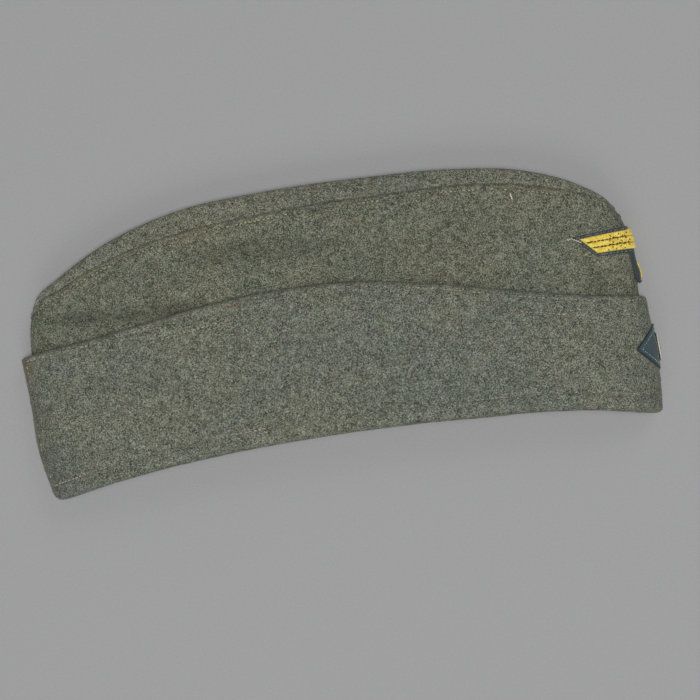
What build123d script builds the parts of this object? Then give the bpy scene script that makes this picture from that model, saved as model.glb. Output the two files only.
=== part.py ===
"""A wool side cap lying on its left side, folded flat.

Frame: +X runs to the front of the cap, +Y to its crown, and +Z away from the surface it lies on, which
is z = 0. The origin is the middle of the footprint. Every cloth piece is a thin curved sheet, lofted
through stations that cross the cap from the head opening to the crown. A station s runs from -1 at the
back seam to 1 at the front seam, and "depth" is measured inwards from the outer face a piece follows.
"""

import math
import os

from build123d import *

os.makedirs("parts", exist_ok=True)

# Plan of the cap, mm
BODY_BACK, BODY_FRONT = 142.6, 144.2      # reach of the body from the middle, at the crown
BODY_BASE_SHARE = 0.975                   # the same reach at the head opening, as a share
CUFF_BACK, CUFF_FRONT = 149.8, 146.2      # reach of the turn-up at its top edge
CUFF_BACK_BASE, CUFF_FRONT_BASE = 143.6, 146.6
BASE_MID = -52.8                          # the rolled lower edge, at mid length
BASE_DROP_BACK, BASE_DROP_FRONT = 12.3, 11.0
CROWN_FOOT, CROWN_PEAK = 9.8, 65.2        # where the crown's curve starts, and its top
CUFF_PEAK, CUFF_PEAK_X = 17.4, -10.0      # highest point of the turn-up's top edge
STRIP_WIDTH, STRIP_LEAST = 12.0, 1.5      # the crown strip above its seam

# Heights above the table, mm
OPEN_HEIGHT, RIDGE_HEIGHT = 32.4, 15.0    # top face of the body at the head opening and at the crown
RIDGE_UNDERSIDE = 0.8                     # underside of the crown at mid length
SEAM_HEIGHT = 9.8                         # the front and back seams
BODY_SEAM, CUFF_SEAM = 4.8, 8.0           # thickness of the body and of the turn-up at those seams
FLATTENED = 0.25                          # how far the table presses the lower turn-up flat

# Cloth thicknesses and the room between layers, mm
WOOL, LINING, BAND, HEM = 2.2, 0.8, 1.2, 1.5
CUFF_WOOL = 2.0
GAP = 0.15
CUFF_RISE = CUFF_WOOL + HEM + 2 * GAP     # the turn-up's outer face above the body's
HEM_DEPTH, BAND_HEIGHT = 9.0, 22.0
ROLL_WIDTH, ROLL_RADIUS = 3.2, 3.0        # the rolled lower edge
ALLOWANCE_START = 0.975                   # where the seam allowances of the turn-up start, as a station
ROLL_DEPTH = CUFF_RISE + WOOL + LINING + BAND + 2 * GAP
VALLEY_DEPTH = 12.0                       # the fold between the two crown ridges
SEAM_TAPE, SEAM_TAPE_DEPTH = 2.0, 6.0

# Stitch rows, mm
THREAD_WIDTH, THREAD_HEIGHT = 0.7, 0.4
HEM_STITCH, EDGE_STITCH, BASE_STITCH, CROWN_STITCH, BACK_STITCH = 9.3, 2.2, 8.0, 1.8, 2.8

# Badge on the front of the body, and rosette on the front of the turn-up, mm
BARS, BAR_GAP_SHARE = 3, 0.06
BAR_FOOT_X, BAR_TIP_X, BAR_FOOT_Y, BAR_TIP_Y = 125.6, 118.9, 13.8, 22.2
BADGE_MARGIN, BADGE_CLOTH, BADGE_THREAD = 1.4, 0.7, 0.7
TAB_LOW, TAB_HIGH, TAB_HALF, TAB_THICKNESS = -2.6, 11.6, 5.2, 0.9
SHORT_BAR_LENGTH, SHORT_BAR_WIDTH, SHORT_BAR_THICKNESS = 8.0, 2.6, 0.8
DIAMOND_X, DIAMOND_HALF, DIAMOND_CLOTH = 137.8, 10.2, 0.5
ROSETTE_Y, ROSETTE_RADIUS, ROSETTE_THICKNESS = -33.2, 6.5, 0.7
RING_RADIUS, RING_THREAD, BOSS_RADIUS, BOSS_HEIGHT = 5.0, 0.45, 2.6, 0.5

TOP, UNDER = 1, -1
SIDES = {"right": TOP, "left": UNDER}
BLUNTNESS = {TOP: 8, UNDER: 14}           # how squarely each side turns in to the front and back seams


def between(first, last, count):
    """Stations from first to last, closer together towards the seams."""
    start, end = math.asin(first), math.asin(last)
    return [math.sin(start + (end - start) * k / (count - 1)) for k in range(count)]


SEAM = 0.9998                             # the last station: the faces still bend a little there
FULL = between(-SEAM, -0.93, 7) + between(-0.9, 0.9, 12) + between(0.93, SEAM, 7)


def inside(reach):
    """The stations no further out than a share of the reach."""
    return [s for s in FULL if abs(s) <= reach]


def crown_edge(x):
    """The cap's outline over the crown: a superellipse, squarer at the front than at the back."""
    reach, power = (BODY_FRONT, 2.8) if x > 0 else (BODY_BACK, 2.25)
    share = min(1.0, abs(x) / reach)
    return CROWN_FOOT + (CROWN_PEAK - CROWN_FOOT) * (1 - share**power) ** (1 / power)


def strip_width(x):
    """How much of the crown strip shows above the side panel's seam."""
    return max(STRIP_LEAST, STRIP_WIDTH * (1 - abs((x + 10) / 150) ** 2.5))


def seam_edge(x):
    return crown_edge(x) - strip_width(x)


def base_edge(x):
    """The rolled lower edge round the head opening, arched in plan."""
    drop, power = (BASE_DROP_FRONT, 3) if x > 0 else (BASE_DROP_BACK, 2)
    return BASE_MID - drop * abs(x / 141) ** power


def cuff_edge(x):
    """The turn-up's top edge: a long hump, lowest at the front."""
    drop, reach, power = (27.2, 157, 1.0) if x > CUFF_PEAK_X else (14.1, 137, 1.2)
    share = min(1.0, abs(x - CUFF_PEAK_X) / reach)
    return CUFF_PEAK - drop * (1 - math.cos(math.pi * share**power)) / 2


def fullness(side, s):
    """How far a side stands away from the seams along the cap: 1 at mid length, 0 at the seams."""
    return math.sqrt(max(0.0, 1 - s ** BLUNTNESS[side]))


def middle_height(side, x, y):
    """Height of the body's outer face at mid length."""
    if side == TOP:
        slope = (OPEN_HEIGHT - RIDGE_HEIGHT) / (CROWN_PEAK - BASE_MID)
        return RIDGE_HEIGHT + slope * (CROWN_PEAK - y)
    edge = cuff_edge(x)
    share = min(1.0, max(0.0, (y - edge) / max(1.0, crown_edge(x) - edge)))
    resting = CUFF_RISE - FLATTENED
    return resting + (RIDGE_UNDERSIDE - resting) * share


def body_x(s, y):
    """The body's stations fan out slightly from the head opening to the crown."""
    reach = BODY_FRONT if s > 0 else BODY_BACK
    share = (y - BASE_MID) / (CROWN_PEAK - BASE_MID)
    return s * reach * (BODY_BASE_SHARE + (1 - BODY_BASE_SHARE) * share)


def cuff_x(s, y):
    """The turn-up's stations lean outwards at the back, so its top corner overhangs."""
    base, top = (CUFF_FRONT_BASE, CUFF_FRONT) if s > 0 else (CUFF_BACK_BASE, CUFF_BACK)
    share = (y - BASE_MID) / (CUFF_PEAK - BASE_MID)
    return s * (base + (top - base) * share)


def body_face(side, s, y):
    """Height of the body's outer face at station s."""
    seam = SEAM_HEIGHT + side * BODY_SEAM / 2
    return seam + (middle_height(side, body_x(s, y), y) - seam) * fullness(side, s)


def cuff_face(side, s, y):
    """Height of the turn-up's outer face at station s."""
    seam = SEAM_HEIGHT + side * CUFF_SEAM / 2
    middle = middle_height(TOP, 0, y) + CUFF_RISE if side == TOP else -FLATTENED
    return seam + (middle - seam) * fullness(side, s)


def settle(x_at, s, edge):
    """The y of a plan edge on station s, whose x changes with y."""
    y = edge(x_at(s, 0.0))
    for _ in range(12):
        y = edge(x_at(s, y))
    return y


def station_at(x_at, x, y):
    """The station that passes through a point in plan."""
    return x / abs(x_at(math.copysign(1, x), y))


def lofted(x_at, stations, outline):
    """Loft through the stations. outline gives the corners of a station's section as (y, z)."""
    sections = []
    for s in stations:
        foot = Vector(x_at(s, 0), 0, 0)
        along = Vector(x_at(s, 1), 1, 0) - foot
        plane = Plane(origin=foot, x_dir=along, z_dir=along.cross(Vector(0, 0, 1)))
        with BuildSketch(plane) as section:
            with BuildLine():
                Polyline(*[(y * along.length, z) for y, z in outline(s)], close=True)
            make_face()
        sections.append(section.sketch.face())
    loft(sections, ruled=True)


def sheet(x_at, face, side, low, high, depth, thickness, stations=FULL):
    """A sheet between two plan edges, its outer face at a depth below the face it follows. Its thickness
    is a number, or a function of the station."""

    def outline(s):
        ends = [settle(x_at, s, low), settle(x_at, s, high)]
        bend = settle(x_at, s, cuff_edge)
        if x_at is body_x and ends[0] + GAP < bend < ends[1] - GAP:
            ends.insert(1, bend)
        outer = [(y, face(side, s, y) - side * depth) for y in ends]
        wall = thickness(s) if callable(thickness) else thickness
        inner = [(y, z - side * wall) for y, z in reversed(outer)]
        return outer + inner

    lofted(x_at, stations, outline)


def raised(edge, amount):
    """A plan edge moved towards the crown."""
    return lambda x: edge(x) + amount


def save(piece, label):
    piece.part.label = label
    export_step(piece.part, f"parts/{label}.step")


# ---- Body: side panels, crown strips and the seam between them
def crown_outline(side):
    """Section of a crown strip: up the side, over the ridge and down into the valley."""

    def outline(s):
        ridge, seam = settle(body_x, s, crown_edge), settle(body_x, s, seam_edge)
        half = abs(body_face(TOP, s, ridge) - body_face(UNDER, s, ridge)) / 2 - GAP
        wool = min(WOOL, half / 2 - GAP)
        turn = 2 * wool + GAP
        rise = min(turn / 2, 0.8 * (ridge - seam))
        notch = max(ridge - 1.3 * wool, seam + 0.3)
        roomy = half > 2 * WOOL + GAP
        valley = ridge - VALLEY_DEPTH * fullness(TOP, s) if roomy else seam + 0.1
        corners = [(0, seam)]
        for k in range(7):
            angle = math.pi * k / 6
            corners.append((turn / 2 * (1 - math.cos(angle)), ridge - rise * (1 - math.sin(angle))))
        corners += [(half, valley), (half - wool, valley), (turn - wool, notch), (wool, notch), (wool, seam)]
        return [(y, body_face(side, s, ridge) - side * depth) for depth, y in corners]

    return outline


for name, side in SIDES.items():
    with BuildPart() as side_panel:
        sheet(body_x, body_face, side, raised(base_edge, ROLL_WIDTH + GAP), raised(seam_edge, -GAP), 0, WOOL)
    save(side_panel, f"side_panel_{name}")

    with BuildPart() as crown_strip:
        lofted(body_x, inside(0.99), crown_outline(side))
    save(crown_strip, f"crown_strip_{name}")


def valley_floor(s):
    """The bottom of the valley between the crown's ridges, and the height of its middle."""
    ridge = settle(body_x, s, crown_edge)
    middle = (body_face(TOP, s, ridge) + body_face(UNDER, s, ridge)) / 2
    return ridge - VALLEY_DEPTH * fullness(TOP, s) - GAP, middle


def tape_outline(s):
    floor, middle = valley_floor(s)
    foot, half = floor - SEAM_TAPE_DEPTH, SEAM_TAPE / 2
    return [(floor, middle - half), (floor, middle + half), (foot, middle + half), (foot, middle - half)]


with BuildPart() as crown_centre_seam:
    lofted(body_x, inside(0.85), tape_outline)
save(crown_centre_seam, "crown_centre_seam")


# ---- Inside: side linings, the lining's crown, and the facing round the head opening
def lining_top(x):
    return crown_edge(x) - VALLEY_DEPTH - SEAM_TAPE_DEPTH - 2


INNER = inside(0.95)
for name, side in SIDES.items():
    with BuildPart() as side_lining:
        low = raised(base_edge, ROLL_WIDTH + GAP)
        sheet(body_x, body_face, side, low, lining_top, WOOL + GAP, LINING, INNER)
    save(side_lining, f"lining_{name}")

    with BuildPart() as inner_band:
        low, high = raised(base_edge, ROLL_WIDTH + GAP), raised(base_edge, ROLL_WIDTH + GAP + BAND_HEIGHT)
        sheet(body_x, body_face, side, low, high, WOOL + LINING + 2 * GAP, BAND, INNER)
    save(inner_band, f"inner_band_{name}")


def lining_crown_outline(s):
    """The strip that joins the two linings at the top."""
    low = settle(body_x, s, lining_top) + GAP
    inset = WOOL + GAP
    upper, lower = body_face(TOP, s, low) - inset, body_face(UNDER, s, low) + inset
    return [(low, lower), (low, upper), (low + LINING, upper - GAP), (low + LINING, lower + GAP)]


with BuildPart() as lining_crown:
    lofted(body_x, INNER, lining_crown_outline)
save(lining_crown, "lining_crown")


# ---- Turn-up, its hem, and its rolled lower edge
def cuff_outline(side):
    """Section of the turn-up: down from its top edge, and round the rolled lower edge."""

    def outline(s):
        base, top = settle(cuff_x, s, base_edge), settle(cuff_x, s, cuff_edge)
        room = abs(cuff_face(side, s, base) - SEAM_HEIGHT) - GAP
        deep = min(ROLL_DEPTH, room)
        radius = min(ROLL_RADIUS, 0.45 * deep)
        corners = [(0, top)]
        for k in range(5):
            angle = math.pi / 2 * k / 4
            corners.append((radius * (1 - math.cos(angle)), base + radius * (1 - math.sin(angle))))
        for k in range(5):
            angle = math.pi / 2 * k / 4
            corners.append((deep - radius * (1 - math.sin(angle)), base + radius * (1 - math.cos(angle))))
        corners += [(deep, base + ROLL_WIDTH), (CUFF_WOOL, base + ROLL_WIDTH), (CUFF_WOOL, top)]
        return [(y, cuff_face(side, s, y) - side * depth) for depth, y in corners]

    return outline


def hem_thickness(s):
    """The hem flattens towards the seams, where the turn-up lies closer to the body."""
    seam_rise = (CUFF_SEAM - BODY_SEAM) / 2
    return min(HEM, seam_rise + (CUFF_RISE - seam_rise) * fullness(TOP, s) - CUFF_WOOL - 2 * GAP)


def allowance_outline(s):
    """The turned-in seam allowances that fill the fold at the front and back of the turn-up."""
    low = settle(cuff_x, s, base_edge) + ROLL_WIDTH + GAP
    high = settle(cuff_x, s, cuff_edge) - CUFF_WOOL / 2
    half = CUFF_SEAM / 2 - CUFF_WOOL - GAP
    upper, lower = SEAM_HEIGHT + half, SEAM_HEIGHT - half
    return [(low, lower), (high, lower), (high, upper), (low, upper)]


for name, direction in {"front": 1, "back": -1}.items():
    with BuildPart() as allowance:
        lofted(cuff_x, sorted([direction * ALLOWANCE_START, direction * SEAM]), allowance_outline)
    save(allowance, f"turn_up_{name}_seam")

for name, side in SIDES.items():
    with BuildPart() as turn_up:
        lofted(cuff_x, FULL, cuff_outline(side))
        split(bisect_by=Plane.XY, keep=Keep.TOP)
    save(turn_up, f"turn_up_{name}")

    with BuildPart() as hem:
        low = raised(cuff_edge, -HEM_DEPTH)
        sheet(cuff_x, cuff_face, side, low, cuff_edge, CUFF_WOOL + GAP, hem_thickness, inside(0.91))
    save(hem, f"turn_up_hem_{name}")


# ---- Stitch rows, one node a row with a thread on each side
def thread_row(label, x_at, face, edge, shift, stations, sides=(TOP, UNDER)):
    """A thread along a plan edge, lying on the cloth; the table hides it where the cap rests on it."""
    with BuildPart() as row:
        for side in sides:
            low, high = raised(edge, shift), raised(edge, shift + THREAD_WIDTH)
            sheet(x_at, face, side, low, high, -THREAD_HEIGHT - GAP, THREAD_HEIGHT, stations)
        split(bisect_by=Plane.XY, keep=Keep.TOP)
    save(row, label)


ROW = inside(0.97)
thread_row("crown_stitching", body_x, body_face, seam_edge, -CROWN_STITCH - THREAD_WIDTH, ROW)
thread_row("turn_up_edge_stitching", cuff_x, cuff_face, cuff_edge, -EDGE_STITCH, ROW)
thread_row("turn_up_hem_stitching", cuff_x, cuff_face, cuff_edge, -HEM_STITCH, ROW)
thread_row("base_stitching", cuff_x, cuff_face, base_edge, BASE_STITCH, ROW)

back_row = [-1 + BACK_STITCH / CUFF_BACK, -1 + (BACK_STITCH + THREAD_WIDTH) / CUFF_BACK]
with BuildPart() as back_seam_stitching:
    for side in SIDES.values():
        sheet(cuff_x, cuff_face, side, raised(base_edge, BASE_STITCH + 1), raised(cuff_edge, -EDGE_STITCH - 1),
              -THREAD_HEIGHT - GAP, THREAD_HEIGHT, back_row)
save(back_seam_stitching, "back_seam_stitching")


# ---- Badge on the front of the body: backing, bars, and the tab below it
def bar_edge(share):
    """A line along the badge's bars: share 0 is their lower edge and 1 their upper edge."""

    def edge(x):
        low = BAR_FOOT_Y + 0.03 * (x - BAR_FOOT_X)
        high = BAR_TIP_Y + 0.055 * (x - BAR_TIP_X)
        return low + share * (high - low)

    return edge


def badge_low(x):
    """The backing's lower edge, which slants up to its rear tip."""
    slant = (BAR_TIP_Y - BAR_FOOT_Y) / (BAR_TIP_X - BAR_FOOT_X)
    slanted = BAR_FOOT_Y - BADGE_MARGIN + slant * (x - BAR_FOOT_X + BADGE_MARGIN)
    return min(max(bar_edge(0)(x) - BADGE_MARGIN, slanted), bar_edge(1)(x) + BADGE_MARGIN - 0.4)


def from_x(x_at, x, y, last=SEAM):
    """Stations from a point in plan to the front seam."""
    first = station_at(x_at, x, y)
    return [first] + [s for s in FULL if first + 0.002 < s < last] + [last]


front_x = body_x(1, BAR_FOOT_Y)
with BuildPart() as emblem_backing:
    for side in SIDES.values():
        stations = from_x(body_x, BAR_TIP_X - 3.2, BAR_TIP_Y)
        sheet(body_x, body_face, side, badge_low, raised(bar_edge(1), BADGE_MARGIN),
              -BADGE_CLOTH - GAP, BADGE_CLOTH, stations)
    height = BODY_SEAM + 2 * (BADGE_CLOTH + GAP)
    with BuildSketch(Plane.XZ.offset(-bar_edge(0)(front_x) + BADGE_MARGIN)) as nose:
        with Locations((front_x + 0.35 + BADGE_CLOTH / 2, SEAM_HEIGHT)):
            Rectangle(BADGE_CLOTH, height)
    extrude(amount=-(bar_edge(1)(front_x) - bar_edge(0)(front_x) + 1.6 * BADGE_MARGIN))
save(emblem_backing, "emblem_backing")

for name, side in SIDES.items():
    with BuildPart() as bars:
        for k in range(BARS):
            low, high = (k + BAR_GAP_SHARE) / BARS, (k + 1 - BAR_GAP_SHARE) / BARS
            start = BAR_FOOT_X + (BAR_TIP_X - BAR_FOOT_X) * (low + high) / 2
            sheet(body_x, body_face, side, bar_edge(low), bar_edge(high),
                  -BADGE_CLOTH - BADGE_THREAD - 2 * GAP, BADGE_THREAD,
                  from_x(body_x, start, BAR_FOOT_Y, 0.997))
    save(bars, f"emblem_bars_{name}")


def front_plate(label, x, thickness, outline):
    """A thin plate that faces the front. outline draws its shape in the plane of width and y."""
    with BuildPart() as plate:
        with BuildSketch(Plane.YZ.offset(x)):
            outline()
        extrude(amount=thickness)
    save(plate, label)


def tab_shape():
    with Locations(((TAB_LOW + TAB_HIGH) / 2, SEAM_HEIGHT)):
        RectangleRounded(TAB_HIGH - TAB_LOW, 2 * TAB_HALF, 1.5)


def short_bar_shape():
    with Locations(((TAB_LOW + TAB_HIGH) / 2 - 1, SEAM_HEIGHT)):
        RectangleRounded(SHORT_BAR_LENGTH, SHORT_BAR_WIDTH, 0.8)


def rosette_shape():
    with Locations((ROSETTE_Y, SEAM_HEIGHT)):
        Circle(ROSETTE_RADIUS)


tab_front = front_x + 0.1
front_plate("emblem_tab", tab_front, TAB_THICKNESS, tab_shape)
front_plate("emblem_short_bar", tab_front + TAB_THICKNESS + 0.05, SHORT_BAR_THICKNESS, short_bar_shape)


# ---- Rosette on the front of the turn-up
def diamond_edge(sign):
    return lambda x: ROSETTE_Y + sign * max(0.3, DIAMOND_HALF * (x - DIAMOND_X) / (CUFF_FRONT - DIAMOND_X))


cuff_front_x = cuff_x(1, ROSETTE_Y)
with BuildPart() as rosette_backing:
    for side in SIDES.values():
        sheet(cuff_x, cuff_face, side, diamond_edge(-1), diamond_edge(1),
              -DIAMOND_CLOTH - GAP, DIAMOND_CLOTH, from_x(cuff_x, DIAMOND_X, ROSETTE_Y))
    with BuildSketch(Plane.YZ.offset(cuff_front_x + 0.1)):
        with Locations((ROSETTE_Y, SEAM_HEIGHT)):
            Rectangle(2 * DIAMOND_HALF - 1, CUFF_SEAM + 2 * (DIAMOND_CLOTH + GAP))
    extrude(amount=DIAMOND_CLOTH)
save(rosette_backing, "rosette_backing")

disc_x = cuff_front_x + 0.1 + DIAMOND_CLOTH + 0.05
front_plate("rosette_disc", disc_x, ROSETTE_THICKNESS, rosette_shape)

ring_x = disc_x + ROSETTE_THICKNESS + RING_THREAD + 0.02
rosette_axis = Plane(origin=(ring_x, ROSETTE_Y, SEAM_HEIGHT), z_dir=(1, 0, 0))
with BuildPart() as rosette_ring:
    with Locations(rosette_axis):
        Torus(RING_RADIUS, RING_THREAD)
save(rosette_ring, "rosette_ring")

boss_plane = Plane(origin=(disc_x + ROSETTE_THICKNESS + 0.03, ROSETTE_Y, SEAM_HEIGHT), z_dir=(1, 0, 0))
with BuildPart() as rosette_boss:
    with BuildSketch(boss_plane):
        Circle(BOSS_RADIUS)
    extrude(amount=BOSS_HEIGHT)
    fillet(rosette_boss.faces().sort_by(Axis.X)[-1].edges(), BOSS_HEIGHT * 0.8)
save(rosette_boss, "rosette_boss")
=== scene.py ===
"""Looks of a wool side cap that lies on its left side, folded flat.

Everything is worked out in millimetres in the row frame (+X to the front, +Y to the crown, +Z up) and
turned into metres when a mesh is made. The cap is two height fields that meet at the front and back
seams: TOP is the right side, which faces up, and UNDER is the left side, which lies on the table.
"""
import itertools
import math

import bpy
import numpy as np
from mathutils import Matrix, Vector


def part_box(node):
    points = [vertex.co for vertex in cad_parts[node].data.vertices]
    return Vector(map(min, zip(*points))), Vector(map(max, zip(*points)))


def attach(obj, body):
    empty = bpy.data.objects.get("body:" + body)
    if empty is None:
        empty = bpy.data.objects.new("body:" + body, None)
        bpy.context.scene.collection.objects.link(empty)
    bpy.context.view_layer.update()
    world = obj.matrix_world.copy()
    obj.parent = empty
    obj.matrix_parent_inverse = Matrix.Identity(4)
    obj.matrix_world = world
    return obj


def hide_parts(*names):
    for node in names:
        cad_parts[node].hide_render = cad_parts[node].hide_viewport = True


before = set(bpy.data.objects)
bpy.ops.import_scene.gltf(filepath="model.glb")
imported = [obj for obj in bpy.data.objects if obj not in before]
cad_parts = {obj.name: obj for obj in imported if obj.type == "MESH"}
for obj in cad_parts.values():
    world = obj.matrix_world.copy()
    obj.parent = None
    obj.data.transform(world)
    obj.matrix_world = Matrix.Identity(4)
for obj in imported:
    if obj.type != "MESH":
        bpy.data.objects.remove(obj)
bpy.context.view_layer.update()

MM = 0.001
TOP, UNDER = 1, -1
SIDES = {"right": TOP, "left": UNDER}


def node_box(node):
    """A CAD node's lowest and highest corners, in millimetres."""
    low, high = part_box(node)
    return np.array(low) / MM, np.array(high) / MM


# ------------------------------------------------------------------ the cap's shape, mm
_, crown_high = node_box("crown_strip_right")
_, cuff_high = node_box("turn_up_right")
under_low, _ = node_box("crown_strip_left")
rosette_low, rosette_high = node_box("rosette_disc")

SEAM_Z = (rosette_low[2] + rosette_high[2]) / 2         # height of the front and back seams
ROSETTE_Y = (rosette_low[1] + rosette_high[1]) / 2
ROSETTE_RADIUS = (rosette_high[1] - rosette_low[1]) / 2
CUFF_RISE = 3.8                     # the turn-up's face above the body's
CUFF_Z = cuff_high[2] - 0.4         # top face of the turn-up at the head opening
BASE_Y = -51.8                      # the rolled lower edge at mid length
CROWN_Y = crown_high[1]
CUFF_REACH = 146.0                  # where the turn-up's ends are looked up on its edges' curves
RIDGE_Z = 15.0                      # top of the right crown ridge
RIDGE_UNDERSIDE = under_low[2]      # the left crown ridge's height over the table
WOOL, CUFF_WOOL = 2.0, 1.75         # thicknesses of the cloths
LINING, BAND = 0.7, 1.0
ROLL = 4.1                          # radius of the rolled lower edge
FOLD = 1.85                         # radius of the fold along the turn-up's top edge
HEM = 9.0                           # how deep the turn-up's hem is
EDGE_ROW, HEM_ROW = 2.2, 9.3        # stitch rows below the turn-up's edge
BASE_ROW = 8.0                      # stitch row above the rolled lower edge
SEAM_ROW = 2.1                      # stitch row below the crown seam
BACK_ROW = 2.8                      # stitch row in front of the back edge
BLUNT = {TOP: 8, UNDER: 14}         # how far out each side stays full before it closes at the ends
DOME = 0.10                         # how much a side falls from mid length to its ends
CROWN_LIP = 3.0                     # how far in from the outline the crown rounds off
STRIP_FOOT = 20.0                   # the crown strip lies above this height


def curve(points):
    """A smooth function through a few (x, y) points."""
    xs, ys = np.array(points, float).T
    slopes = np.gradient(ys, xs)

    def at(x):
        x = np.clip(x, xs[0], xs[-1])
        i = np.clip(np.searchsorted(xs, x) - 1, 0, len(xs) - 2)
        h = xs[i + 1] - xs[i]
        t = (x - xs[i]) / h
        return ((1 + 2 * t) * (1 - t) ** 2 * ys[i] + t * (1 - t) ** 2 * h * slopes[i]
                + t * t * (3 - 2 * t) * ys[i + 1] + t * t * (t - 1) * h * slopes[i + 1])

    return at


def smooth(x):
    """A soft step: 0 up to x = 0, 1 from x = 1."""
    x = np.clip(x, 0, 1)
    return x * x * (3 - 2 * x)


def bell(x, width):
    """A bump: 1 at x = 0, almost nothing beyond two widths."""
    return np.exp(-((x / width) ** 2))


def unit(v):
    """Vectors at length 1."""
    return v / np.maximum(np.linalg.norm(v, axis=-1, keepdims=True), 1e-9)


def lengths(path):
    """How far along a path each of its points lies."""
    return np.concatenate([[0], np.cumsum(np.linalg.norm(np.diff(path, axis=0), axis=1))])


SCRAMBLE = (73856093, 19349663, 83492791)       # large primes that mix up a noise cell's place
NOISE_VALUES = 4096


def noise(points, size, seed):
    """Smooth noise from -1 to 1 whose lumps are about size mm across."""
    table = np.random.default_rng(seed).uniform(-1, 1, NOISE_VALUES)
    cell = np.floor(points / size).astype(int)
    part = smooth(points / size - cell)
    total = np.zeros(points.shape[:-1])
    for corner in itertools.product((0, 1), repeat=3):
        key = np.bitwise_xor.reduce((cell + corner) * SCRAMBLE, axis=-1) % NOISE_VALUES
        total += np.where(corner, part, 1 - part).prod(-1) * table[key]
    return total


def layer(side, x, y, level):
    """Plan points as places in the noise, on a level of their own for each side."""
    return np.stack([x, y, np.full_like(x, level * side)], -1)


# Edges seen from above, as y by x, and the turn-up's two ends, as reach by y
base_edge = curve([(-150, -68), (-110, -59.5), (-60, -54), (0, BASE_Y), (60, -53.5), (110, -57), (150, -65)])
cuff_edge = curve([(-150, 3), (-112, 7), (-65, 14), (-40, 16.7), (-16, cuff_high[1]), (10, 16.5), (45, 10.7),
                   (95, -0.7), (125, -6.5), (150, -9)])
cuff_back = curve([(-68, 140.5), (-40, 146), (-20, 146.5), (4, 148)])
cuff_front = curve([(-68, 146.5), (-45, 148), (-9, 146.5)])
# The crown's outline in plan, from low on the back edge over the top to low on the front edge
OUTLINE = np.array([(-141, -20), (-143, 4), (-140, 23), (-136.5, 30), (-125, 37.8), (-97, 52.4), (-65, 61.3),
                    (-25, 64.5), (25, 64.5), (65, 62.5), (98, 57), (122, 47), (135, 37.3), (141.5, 25),
                    (143.5, 5), (143, -20)])
outline_steps = lengths(OUTLINE)
outline_x = curve(np.c_[outline_steps, OUTLINE[:, 0]])
outline_y = curve(np.c_[outline_steps, OUTLINE[:, 1]])
# How far the seam of the crown strip lies inside that outline, by x
seam_inset = curve([(-142, 0), (-138.5, 2), (-112, 7.2), (-80, 10.3), (0, 10.5), (65, 8.6), (125, 4.2),
                    (140.5, 0)])


def outline_at(share):
    """Points of the crown's outline at shares of its length, and the direction into the cap there."""
    along, step = share * outline_steps[-1], 0.8
    run_x = outline_x(along + step) - outline_x(along - step)
    run_y = outline_y(along + step) - outline_y(along - step)
    run = np.hypot(run_x, run_y)
    return outline_x(along), outline_y(along), run_y / run, -run_x / run


def crown_shares(columns):
    """Shares along the outline, closer together at its two ends."""
    q = np.linspace(-1, 1, columns)
    return 0.5 + 0.5 * (0.75 * q + 0.25 * np.sin(q * math.pi / 2))


def panel_inset(x, y):
    """How far the side panel's upper edge lies inside the outline: nothing where there is no strip."""
    inset = np.clip(seam_inset(x), 0, None) * (y > STRIP_FOOT)
    return inset * smooth((inset - 0.4) / 0.8)


crown_x, crown_y, _, _ = outline_at(np.linspace(0, 1, 700))
upper = crown_y > STRIP_FOOT + 3
crown_x, crown_y = crown_x[upper], crown_y[upper]
crown_inset = panel_inset(crown_x, crown_y)


def crown_distance(x, y):
    """How far points lie inside the crown's outline, and below the crown seam."""
    x, y = np.broadcast_arrays(np.asarray(x, float), np.asarray(y, float))
    away, below = np.empty(x.size), np.empty(x.size)
    flat_x, flat_y = x.ravel(), y.ravel()
    batch = 8192
    for start in range(0, x.size, batch):
        part = slice(start, start + batch)
        gaps = (flat_x[part, None] - crown_x) ** 2 + (flat_y[part, None] - crown_y) ** 2
        nearest = gaps.argmin(1)
        away[part] = np.sqrt(gaps[np.arange(len(nearest)), nearest])
        below[part] = away[part] - crown_inset[nearest]
    return away.reshape(x.shape), below.reshape(x.shape)


def end_of_body(forwards):
    """How far the body reaches at one end, by height: its outline, drawn on down to the lower edge."""
    x, y, _, _ = outline_at(np.linspace(0, 1, 1400))
    use = (x * forwards > 0) & (y < 26)
    order = np.argsort(y[use])
    ys = np.concatenate([[-62.0], y[use][order]])
    xs = np.concatenate([[np.abs(x[use][order][0]) - 1.8], np.abs(x[use][order])])
    return lambda height: np.interp(height, ys, xs)


body_back, body_front = end_of_body(-1), end_of_body(1)


def reach(kind, x, y):
    """How far the cap reaches from the middle at height y, on the side of x."""
    back, front = (cuff_back, cuff_front) if kind == "cuff" else (body_back, body_front)
    return np.where(x > 0, front(y), back(y))


def fullness(side, s):
    """How much of its height over the end seams a side keeps at s, which runs from -1 back to 1 front."""
    return np.sqrt(np.clip(1 - np.abs(np.clip(s, -1, 1)) ** BLUNT[side], 0, 1)) * (1 - DOME * s * s)


def middle_z(side, kind, x, y):
    """Height of the outer face at mid length, before the ends are closed."""
    if side == TOP:
        rise = (CUFF_Z - CUFF_RISE - RIDGE_Z) * (CROWN_Y - y) / (CROWN_Y - BASE_Y)
        return RIDGE_Z + rise + (CUFF_RISE if kind == "cuff" else 0)
    if kind == "cuff":
        return np.zeros_like(y)
    above = np.clip((y - cuff_edge(x)) / 45, 0, 1)
    return CUFF_RISE - 0.1 + (RIDGE_UNDERSIDE - CUFF_RISE + 0.1) * above


def lay(side, x, y):
    """Soft unevenness of the lying cloth, shared by its layers so that they stay apart."""
    p = layer(side, x, y, 50.0)
    soft = 0.8 * noise(p * (1, 1.5, 1), 74, 3) + 0.35 * noise(p * (1, 1.4, 1), 29, 4)
    return soft if side == TOP else 0.3 * soft


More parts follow.
